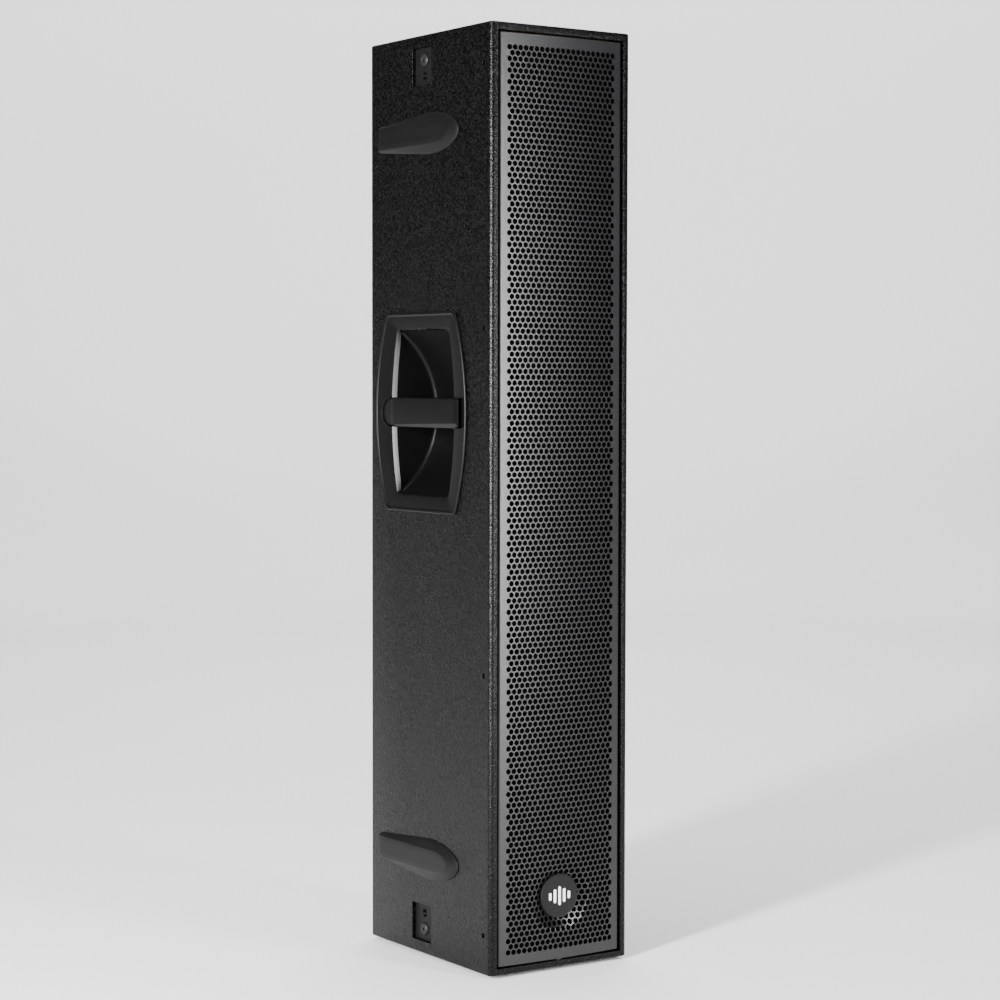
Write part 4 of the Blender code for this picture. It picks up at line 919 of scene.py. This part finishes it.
def grip_rings():
    """Sections along the bar, then along its low round tongue: along, height, facet, half, inner."""
    full = GRIP_OUT
    stations = [(GRIP_FRONT_Y, full - 0.0038, 0.0003, GRIP_HALF - 0.0004, 0.0003),
                (GRIP_FRONT_Y + 0.0004, full - 0.0032, 0.0004, GRIP_HALF, 0.0003),
                (GRIP_FRONT_Y + 0.0090, full, 0.0056, GRIP_HALF, 0.0),
                (-0.0560, full, 0.0056, GRIP_HALF, -0.0060),
                (-0.0450, full, 0.0053, GRIP_HALF, -0.0170), (0.0, full, 0.0044, GRIP_HALF, -0.0175),
                (0.0500, full, 0.0032, GRIP_HALF, -0.0175), (0.0680, full, 0.0028, GRIP_HALF, -0.0170),
                (0.0725, full, 0.0027, GRIP_HALF, -0.0030),
                (0.0750, full - 0.0002, 0.0026, GRIP_HALF, 0.0002),
                (0.0757, full - 0.0009, 0.0024, GRIP_HALF, 0.0004),
                (0.0761, 0.0034, 0.0014, GRIP_TONGUE, 0.0004),
                (0.0768, 0.0031, 0.0012, GRIP_TONGUE, 0.0004)]
    for turn in np.linspace(0.0, 0.97, 9) * math.pi / 2:
        half = GRIP_TONGUE * math.cos(turn)
        stations.append((GRIP_RING_Y + GRIP_TONGUE * math.sin(turn), 0.0028 - 0.0009 * math.sin(turn),
                         min(0.0010, 0.2 * half), half, 0.0004))
    sections = []
    for along, height, facet, half, inner in stations:
        section = grip_section(height, facet, half, inner)
        sections.append(np.column_stack([section[:, 0], np.full(len(section), along), section[:, 1]]))
    return sections


ring_profile = np.array([(0.0006, GRIP_RING), (0.0018, GRIP_RING), (0.0032, GRIP_RING - 0.0006),
                         (0.0034, GRIP_RING - 0.0012), (0.0030, GRIP_RING - 0.0019),
                         (0.0006, GRIP_RING - 0.0021)])
ring_turn = np.linspace(-math.pi / 2, math.pi / 2, 33)[:, None]
for side, side_name in SIDES.items():
    sections = [np.column_stack([side * (SIDE_X + section[:, 0]), section[:, 1], section[:, 2] + HANDLE_Z])
                for section in grip_rings()]
    grip = add_surface("handle_bar_" + side_name, *stack(sections), sharp=24)
    grip.data.materials.append(plastic.material)
    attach(grip, "cabinet")
    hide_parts(side_name + "_handle_grip")
    out, radius = ring_profile[:, 0][None], ring_profile[:, 1][None]
    ring_along = GRIP_RING_Y + radius * np.cos(ring_turn)
    ring_points = np.stack([np.broadcast_to(side * (SIDE_X + out), ring_along.shape), ring_along,
                            HANDLE_Z + radius * np.sin(ring_turn)], axis=-1)
    rear_ring = add_surface("handle_bar_ring_" + side_name, *stack(list(ring_points)))
    rear_ring.data.materials.append(plastic.material)
    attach(rear_ring, "cabinet")


# Fly points.
# Steel plates behind rectangular recesses. Each has an open thread for an eyebolt, and one wide black zinc
# screw with a ring on its head that holds the plate to the frame inside.
steel = mottled("fly_plate_steel", {"Specular IOR Level": 0.16, "Metallic": 0.05}, (0.006, 4.0),
                (0.0012, 2.0), (0.0016, 0.0016, 0.0018), (0.0034, 0.0034, 0.0036), (0.45, 0.20, 0.0), 0.00008)
# the threaded bushing is coloured almost black and dull, darker than its plate: painted shade inside the bore
bore_painted_shade = Finish("thread_painted_shade", {"Specular IOR Level": 0.06, "Roughness": 0.4})
bore_painted_shade.set("Base Color", bore_painted_shade.mix(bore_painted_shade.noise(0.002), (0.0003, 0.0003, 0.0003),
                                            (0.0006, 0.0006, 0.0006)))
FLY_SCREW = 0.0075
THREAD_RADIUS = 0.0048
THREAD_PITCH = 0.0015
THREAD_LENGTH = 0.0058
THREAD_FROM_SCREW = 0.019
for side, side_name in SIDES.items():
    for end, inwards in (("upper", -1), ("lower", 1)):
        plate_node = side_name + "_" + end + "_fly_plate"
        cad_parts[plate_node].material_slots[0].material = steel.material
        node = side_name + "_" + end + "_fly_screw"
        low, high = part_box(node)
        length = high.x - low.x
        place = (high.x if side < 0 else low.x, (low.y + high.y) / 2, (low.z + high.z) / 2)
        corners = [(0, length - 0.0022, 0), (0.0021, length - 0.0022, 0), (0.0021, length - 0.0006, 0),
                   (0.0025, length - 0.0003, 0), (0.0042, length - 0.0003, 0.0002), (0.0046, length, 0.0002),
                   (0.0056, length, 0.0003), (0.0060, length - 0.0006, 0.0002),
                   (FLY_SCREW - 0.0008, length - 0.0006, 0.0003), (FLY_SCREW, length - 0.0013, 0.0003),
                   (FLY_SCREW, 0, 0), (0, 0, 0)]
        profile = softened(corners, 3)
        sides = np.where(profile[:, 0] < 0.0024, 6, 0) * (profile[:, 0] > 0)
        screw = add_surface("fly_ring_screw_" + side_name + "_" + end,
                            *turned(profile, 48, place, side_name, sides))
        screw.data.materials.append(black_zinc.material)
        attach(screw, "cabinet")
        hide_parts(node)
        # the open thread: a bushing whose bore rises and falls once a pitch
        plate_low, plate_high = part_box(plate_node)
        thread_z = place[2] + inwards * THREAD_FROM_SCREW
        depth = np.arange(0, THREAD_LENGTH, THREAD_PITCH / 2)
        bore = np.stack([THREAD_RADIUS - 0.0006 * (np.arange(len(depth)) % 2) - 0.0001, -depth - 0.0002],
                        axis=-1)
        outer = np.array([(THREAD_RADIUS - 0.00005, bore[-1, 1]), (THREAD_RADIUS - 0.00005, -0.0002)])
        place = (plate_low.x if side < 0 else plate_high.x, place[1], thread_z)
        thread_profile = np.concatenate([bore, outer, bore[:1]])
        thread = add_surface("fly_thread_" + side_name + "_" + end,
                             *turned(thread_profile, 36, place, side_name))
        thread.data.materials.append(bore_painted_shade.material)
        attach(thread, "cabinet")


# Amplifier panel.
# A black anodised aluminium plate set into the back, screwed round its edge, with an extruded heatsink.
# It carries the level knob, preset button, power rocker, two signal sockets and the mains inlet.
anodised = mottled("anodised_panel", {"Specular IOR Level": 0.5, "Metallic": 0.35}, (0.05, 2.0),
                   (0.0006, 3.0, (0.03, 1, 1)), (0.0140, 0.0140, 0.0150), (0.0200, 0.0200, 0.0210),
                   (0.36, 0.10, 0.08), 0.00005)
for node in ("amplifier_panel", "heatsink"):
    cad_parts[node].material_slots[0].material = anodised.material
PANEL_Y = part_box("amplifier_panel")[1].y
PANEL_SCREW_INSET = (0.008, 0.009)      # from the panel's sides, and from its ends
screw_rows = np.linspace(AMPLIFIER_LOW_Z + PANEL_SCREW_INSET[1], AMPLIFIER_HIGH_Z - PANEL_SCREW_INSET[1], 5)
screw_places = [(side * (INNER_X - PANEL_SCREW_INSET[0]), height) for height in screw_rows for side in SIDES]
PANEL_SCREW = 0.0034
panel_profile = softened([(0, 0.0006, 0), (0.0011, 0.0006, 0), (0.0013, 0.0020, 0), (0.0018, 0.0022, 0.0002),
                          (PANEL_SCREW, 0.0006, 0.0006), (PANEL_SCREW, 0, 0), (0, 0, 0)], 4)
panel_sides = np.where(panel_profile[:, 0] < 0.0015, 6, 0) * (panel_profile[:, 0] > 0)
panel_screws = add_surface("amplifier_panel_screws", *joined(
    [turned(panel_profile, 24, (across, PANEL_Y, height), "back", panel_sides)
     for across, height in screw_places]))
panel_screws.data.materials.append(black_zinc.material)
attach(panel_screws, "cabinet")

# Level knob: a skirted knob with a ribbed grip and a white pointer line.
knob_low, knob_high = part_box("level_knob")
KNOB = ((knob_low.x + knob_high.x) / 2, PANEL_Y, (knob_low.z + knob_high.z) / 2)
KNOB_RADIUS = (knob_high.x - knob_low.x) / 2
KNOB_FACE = knob_high.y - PANEL_Y
KNOB_RIBS = 24
knob_profile = softened([(0, KNOB_FACE - 0.0003, 0), (KNOB_RADIUS - 0.0028, KNOB_FACE, 0.0008),
                         (KNOB_RADIUS - 0.0016, KNOB_FACE - 0.0012, 0.0005),
                         (KNOB_RADIUS - 0.0008, 0.0032, 0.0004), (KNOB_RADIUS, 0.0026, 0.0003),
                         (KNOB_RADIUS, 0.0006, 0), (0.0030, 0.0006, 0),
                         (0.0030, knob_low.y - PANEL_Y, 0), (0, knob_low.y - PANEL_Y, 0)])
knob_points, knob_faces = turned(knob_profile, 8 * KNOB_RIBS, (0, 0, 0), "up")
knob_radius = np.hypot(knob_points[:, 0], knob_points[:, 1])
knob_turn = np.arctan2(knob_points[:, 1], knob_points[:, 0])
ribbed = (knob_points[:, 2] > 0.0034) & (knob_points[:, 2] < KNOB_FACE - 0.0009) & (knob_radius > 0.005)
knob_points[:, :2] *= 1 - (0.035 * ribbed * np.cos(KNOB_RIBS * knob_turn) ** 2)[:, None]
knob = add_surface("level_control_knob", placed(knob_points, KNOB, "back"), knob_faces)
knob.data.materials.append(plastic.material)
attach(knob, "level_knob")
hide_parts("level_knob")
POINTER_HALF = 0.0005
POINTER_INSET = 0.0022                  # its inner end from the knob's axis, and its outer from the rim
pointer_low = (KNOB[0] - POINTER_HALF, PANEL_Y + KNOB_FACE - 0.0010, KNOB[2] + POINTER_INSET)
pointer_high = (KNOB[0] + POINTER_HALF, PANEL_Y + KNOB_FACE + 0.00008, KNOB[2] + KNOB_RADIUS - POINTER_INSET)
pointer = add_surface("level_knob_pointer", *block(pointer_low, pointer_high))
pointer.data.materials.append(print_white.material)
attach(pointer, "level_knob")

# Printed tick marks round the knob, from its lowest turn to its highest.
KNOB_TURN = 150                         # degrees each way
TICK_HALF = 0.00035
TICK_ENDS = (0.0022, 0.0044)            # out from the knob's edge
ticks = []
for angle in np.radians(np.linspace(-KNOB_TURN, KNOB_TURN, 11)):
    direction = np.array((-math.sin(angle), math.cos(angle)))
    crossing = np.array((direction[1], -direction[0])) * TICK_HALF
    near, far = [direction * (KNOB_RADIUS + end) for end in TICK_ENDS]
    outline = np.array([near - crossing, far - crossing, far + crossing, near + crossing])
    outline = outline + (KNOB[0], KNOB[2])
    ticks.append(stack([np.column_stack([outline[:, 0], np.full(4, PANEL_Y + depth), outline[:, 1]])
                        for depth in (0.0, 0.00012)]))
tick_print = add_surface("level_scale_ticks", *joined(ticks))
tick_print.data.materials.append(print_white.material)
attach(tick_print, "cabinet")

# Preset button: a small domed push button in a nut.
button_low, button_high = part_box("preset_button")
BUTTON = (0, PANEL_Y, (button_low.z + button_high.z) / 2)
BUTTON_RADIUS = 0.004
button_profile = softened([(0, 0.0026, 0), (BUTTON_RADIUS - 0.0012, 0.0024, 0.0006),
                           (BUTTON_RADIUS, 0.0018, 0.0005), (BUTTON_RADIUS, -0.0034, 0),
                           (0.0054, -0.0034, 0), (0.0054, -0.0050, 0), (0, -0.0050, 0)])
button = add_surface("preset_push_button", *turned(button_profile, 40, BUTTON, "back"))
button.data.materials.append(plastic.material)
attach(button, "preset_button")
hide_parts("preset_button")
collar_profile = softened([(BUTTON_RADIUS + 0.0005, 0.0001, 0), (BUTTON_RADIUS + 0.0005, 0.0012, 0.0002),
                           (BUTTON_RADIUS + 0.0019, 0.0012, 0.0004), (BUTTON_RADIUS + 0.0024, 0.0001, 0),
                           (BUTTON_RADIUS + 0.0005, 0.0001, 0)])
collar = add_surface("preset_button_collar", *turned(collar_profile, 40, BUTTON, "back"))
collar.data.materials.append(plastic.material)
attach(collar, "cabinet")

# Status lamps: two small domed lenses level with the preset button, green for power and amber for signal.
LAMP_X = 0.018
lens_profile = softened([(0, 0.0017, 0), (0.0012, 0.0014, 0.0006), (0.0016, 0.0002, 0.0004),
                         (0.0016, -0.001, 0), (0, -0.001, 0)])
for name, side, colour in (("power_lamp", -1, (0.02, 0.35, 0.05)), ("signal_lamp", 1, (0.45, 0.20, 0.01))):
    lens = add_surface(name, *turned(lens_profile, 24, (side * LAMP_X, PANEL_Y, BUTTON[2]), "back"))
    tint = Finish(name + "_lens", {"Roughness": 0.15, "Specular IOR Level": 0.5})
    tint.set("Base Color", tint.mix(tint.noise(0.001), colour, tuple(0.8 * part for part in colour)))
    lens.data.materials.append(tint.material)
    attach(lens, "cabinet")

# Power rocker: a moulded bezel round the CAD rocker.
rocker_low, rocker_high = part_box("power_rocker")
ROCKER_X = (rocker_low.x + rocker_high.x) / 2
socket_low, socket_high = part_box("input_socket")
ROCKER_Z = socket_low.z / 2 + socket_high.z / 2      # level with the input socket
bezel_rings = []
for half_x, half_z, out in ((0.0092, 0.0130, 0.0001), (0.0092, 0.0130, 0.0012), (0.0086, 0.0124, 0.0019),
                            (0.0070, 0.0109, 0.0019), (0.0066, 0.0105, 0.0014), (0.0066, 0.0105, 0.0001)):
    outline = unit_square(0.18, 0.13, 6, 4) * (half_x, half_z) + (ROCKER_X, ROCKER_Z)
    bezel_rings.append(np.column_stack([outline[:, 0], np.full(len(outline), PANEL_Y + out), outline[:, 1]]))
bezel_grid = np.stack(bezel_rings)
bezel = add_surface("power_rocker_bezel", bezel_grid,
                    grid_faces(len(bezel_rings), bezel_grid.shape[1], True, True))
bezel.data.materials.append(plastic.material)
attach(bezel, "cabinet")
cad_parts["power_rocker"].material_slots[0].material = plastic.material
for node in ("input_socket", "link_socket"):
    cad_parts[node].material_slots[0].material = plastic.material

zinc = Finish("zinc_plate", {"Specular IOR Level": 0.5, "Metallic": 1.0})
spangle = zinc.cells(0.004)
zinc.set("Base Color", zinc.mix(spangle, (0.30, 0.31, 0.32), (0.42, 0.42, 0.41)))
zinc.set("Roughness", 0.30 + 0.15 * zinc.noise(0.01, 3.0))
zinc.bumps((zinc.noise(0.0008, 2.0), 0.00003))
for node in ("input_latch", "amplifier_chassis"):
    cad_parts[node].material_slots[0].material = zinc.material
blue = mottled("blue_inlet_plastic", {"Specular IOR Level": 0.45}, (0.0007, 2.0), (0.0007, 2.0),
               (0.012, 0.055, 0.28), (0.016, 0.070, 0.33), (0.38, 0.12, 0.0), 0.00004)
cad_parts["mains_inlet"].material_slots[0].material = blue.material


# Underside.
# Four rubber discs glued to the bottom panel, and a cast cup with a flange that takes a stand's pole.
for side, side_name in SIDES.items():
    for end in ("front", "rear"):
        node = end + "_" + side_name + "_foot"
        low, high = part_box(node)
        radius = (high.x - low.x) / 2
        tall = high.z - low.z
        foot_profile = softened([(0, tall, 0), (radius, tall, 0), (radius, 0.0012, 0.0006),
                                 (radius - 0.0016, 0, 0.0006), (0.004, 0, 0.0005), (0.0034, 0.0010, 0),
                                 (0, 0.0010, 0)])
        place = ((low.x + high.x) / 2, (low.y + high.y) / 2, low.z)
        foot = add_surface("rubber_foot_" + end + "_" + side_name, *turned(foot_profile, 48, place, "up"))
        foot.data.materials.append(rubber.material)
        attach(foot, "cabinet")
        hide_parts(node)
cast = mottled("cast_aluminium", {"Specular IOR Level": 0.5, "Metallic": 0.7}, (0.02, 3.0), (0.0014, 3.0),
               (0.020, 0.020, 0.021), (0.034, 0.034, 0.035), (0.45, 0.0, 0.20), 0.00012)
POLE_BORE = 0.018
POLE_DEPTH = 0.0865
pole_tall = pole_high.z - pole_low.z
POLE_FLANGE = (pole_high.x - pole_low.x) / 2
pole_profile = softened([(0, POLE_DEPTH, 0), (POLE_BORE, POLE_DEPTH, 0.002), (POLE_BORE, 0.0010, 0.0008),
                         (POLE_BORE + 0.0012, 0, 0.0004), (POLE_FLANGE, 0, 0.0010), (POLE_FLANGE, 0.0025, 0),
                         (POLE_BORE + 0.004, 0.0025, 0), (POLE_BORE + 0.004, pole_tall, 0),
                         (0, pole_tall, 0)])
pole = add_surface("pole_cup", *turned(pole_profile, 72, (0, POLE_Y, pole_low.z), "up"))
pole.data.materials.append(cast.material)
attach(pole, "cabinet")
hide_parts("pole_socket")


# Inside.
# Bare birch plywood baffle and brace, cast baskets with doped paper cones, a moulded horn and its driver.
# They are seen only when the cabinet is open, and keep their solids with their own finishes.
WOOD_GRAIN = (0.004, 4.0, (1.0, 1.0, 0.06))
birch = mottled("birch_plywood", {"Specular IOR Level": 0.3}, WOOD_GRAIN, WOOD_GRAIN,
                (0.34, 0.22, 0.12), (0.50, 0.36, 0.22), (0.60, 0.15, 0.0), 0.0001)
paper = mottled("doped_paper", {"Specular IOR Level": 0.2}, (0.0012, 5.0), (0.0012, 5.0),
                (0.010, 0.010, 0.010), (0.022, 0.022, 0.021), (0.80, 0.15, 0.0), 0.0002)
for node in ("front_baffle", "cabinet_brace"):
    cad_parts[node].material_slots[0].material = birch.material
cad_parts["horn"].material_slots[0].material = plastic.material
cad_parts["compression_driver"].material_slots[0].material = cast.material
for index in range(1, 5):
    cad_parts["woofer_frame_" + str(index)].material_slots[0].material = cast.material
    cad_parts["woofer_cone_" + str(index)].material_slots[0].material = paper.material
